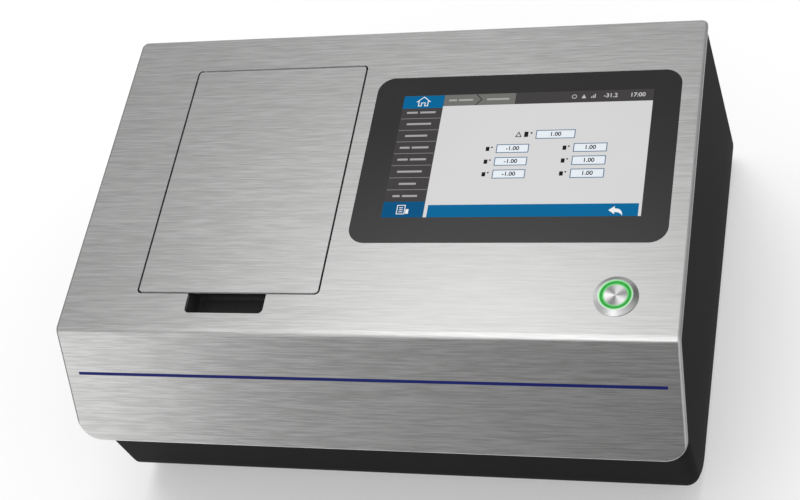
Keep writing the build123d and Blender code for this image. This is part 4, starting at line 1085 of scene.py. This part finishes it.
ceiling = Finish("grey_ceiling")
past_end = ceiling.vector("MAXIMUM", ceiling.place, (-CEILING_REACH, STREAK_END[1], 0.0))
from_end = ceiling.vector("DIVIDE", ceiling.vector("SUBTRACT", past_end, STREAK_END), STREAK_SIZE)
bright = ceiling.maths("EXPONENT", ceiling.vector("DOT_PRODUCT", from_end, from_end, out=1) * -0.5)
ceiling_x, ceiling_y, _ = ceiling.axes(ceiling.place)
in_front = ceiling_y.step(*FRONT_FROM) * ceiling_x.step(*FRONT_ACROSS)
plain = CEILING_GREY * (1.0 - ceiling_x.step(*DARKER_ACROSS) * 0.5)
ceiling_light = plain + bright * STREAK_GLOW + in_front * FRONT_GLOW
ceiling.surface(ceiling.node("ShaderNodeEmission", None, {"Strength": ceiling_light}))
ceiling_rows = [
    [(STREAK_END[0] + x, STREAK_END[1] + y, CEILING_HEIGHT) for x in (-CEILING_REACH, CEILING_REACH)]
    for y in (-CEILING_REACH, CEILING_REACH)
]
stage_sheet("ceiling_card", ceiling_rows, ceiling, **MIRROR_ONLY)

# %% Dark cloth
CARD_LIFT = 0.002
CLOTH_STOPS = (
    (0.0, 1.35), (0.14, 1.08), (0.25, 0.70), (0.37, 0.54), (0.5, 0.475), (0.75, 0.365), (1.0, 0.27),
)
PANEL_Y, PANEL_HALF = -0.13, 0.18
FAN_SIDEWAYS, FAN_SPREAD = 0.35, 1.13
CLOTH_ACROSS, CLOTH_NEAR, CLOTH_FAR, CLOTH_HEIGHT = (-3.0, 2.0), -0.25, -1.6, 0.6

cloth = Finish("dark_cloth")
cloth_x, cloth_y, _ = cloth.axes(cloth.place)
ahead = PANEL_Y - cloth_y
seen_at = (cloth_x + ahead * FAN_SIDEWAYS) / (1.0 + ahead * FAN_SPREAD)
along_panel = (seen_at + PANEL_HALF) / (2 * PANEL_HALF)
shade = cloth.node("ShaderNodeValToRGB", {"stops": CLOTH_STOPS}, {"Fac": along_panel})
cloth.surface(cloth.node("ShaderNodeEmission", None, {"Color": shade, "Strength": 1.0}))
cloth_side = ((CLOTH_NEAR, CARD_LIFT), (CLOTH_FAR, CARD_LIFT), (CLOTH_FAR, CLOTH_HEIGHT))
cloth_rows = [[(x, y, z) for x in CLOTH_ACROSS] for y, z in cloth_side]
stage_sheet("cloth_card", cloth_rows, cloth, **MIRROR_ONLY)

# %% Grey mat
MAT_GREY, MAT_RISE = 0.36, 0.3
RISE_FROM = (-0.1, 0.5)
MAT_ACROSS, MAT_ALONG = (0.19, 1.5), (-0.25, 1.2)

mat = Finish("grey_mat")
_, mat_y, _ = mat.axes(mat.place)
mat_light = mat_y.step(*RISE_FROM) * MAT_RISE + MAT_GREY
mat.surface(mat.node("ShaderNodeEmission", None, {"Strength": mat_light}))
mat_rows = [[(x, y, CARD_LIFT) for x in MAT_ACROSS] for y in MAT_ALONG]
stage_sheet("grey_mat", mat_rows, mat, **MIRROR_ONLY)

# %% [markdown]
# ## The two boxes
# Both boxes are printed: the CAD model's, and the dressed model's. The dressed model has to
# stay inside the CAD model's box.

# %% Print the boxes
both_boxes = {"cad": cad_box, "visual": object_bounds()}
both_boxes = {name: [list(corner) for corner in box] for name, box in both_boxes.items()}
print(both_boxes)
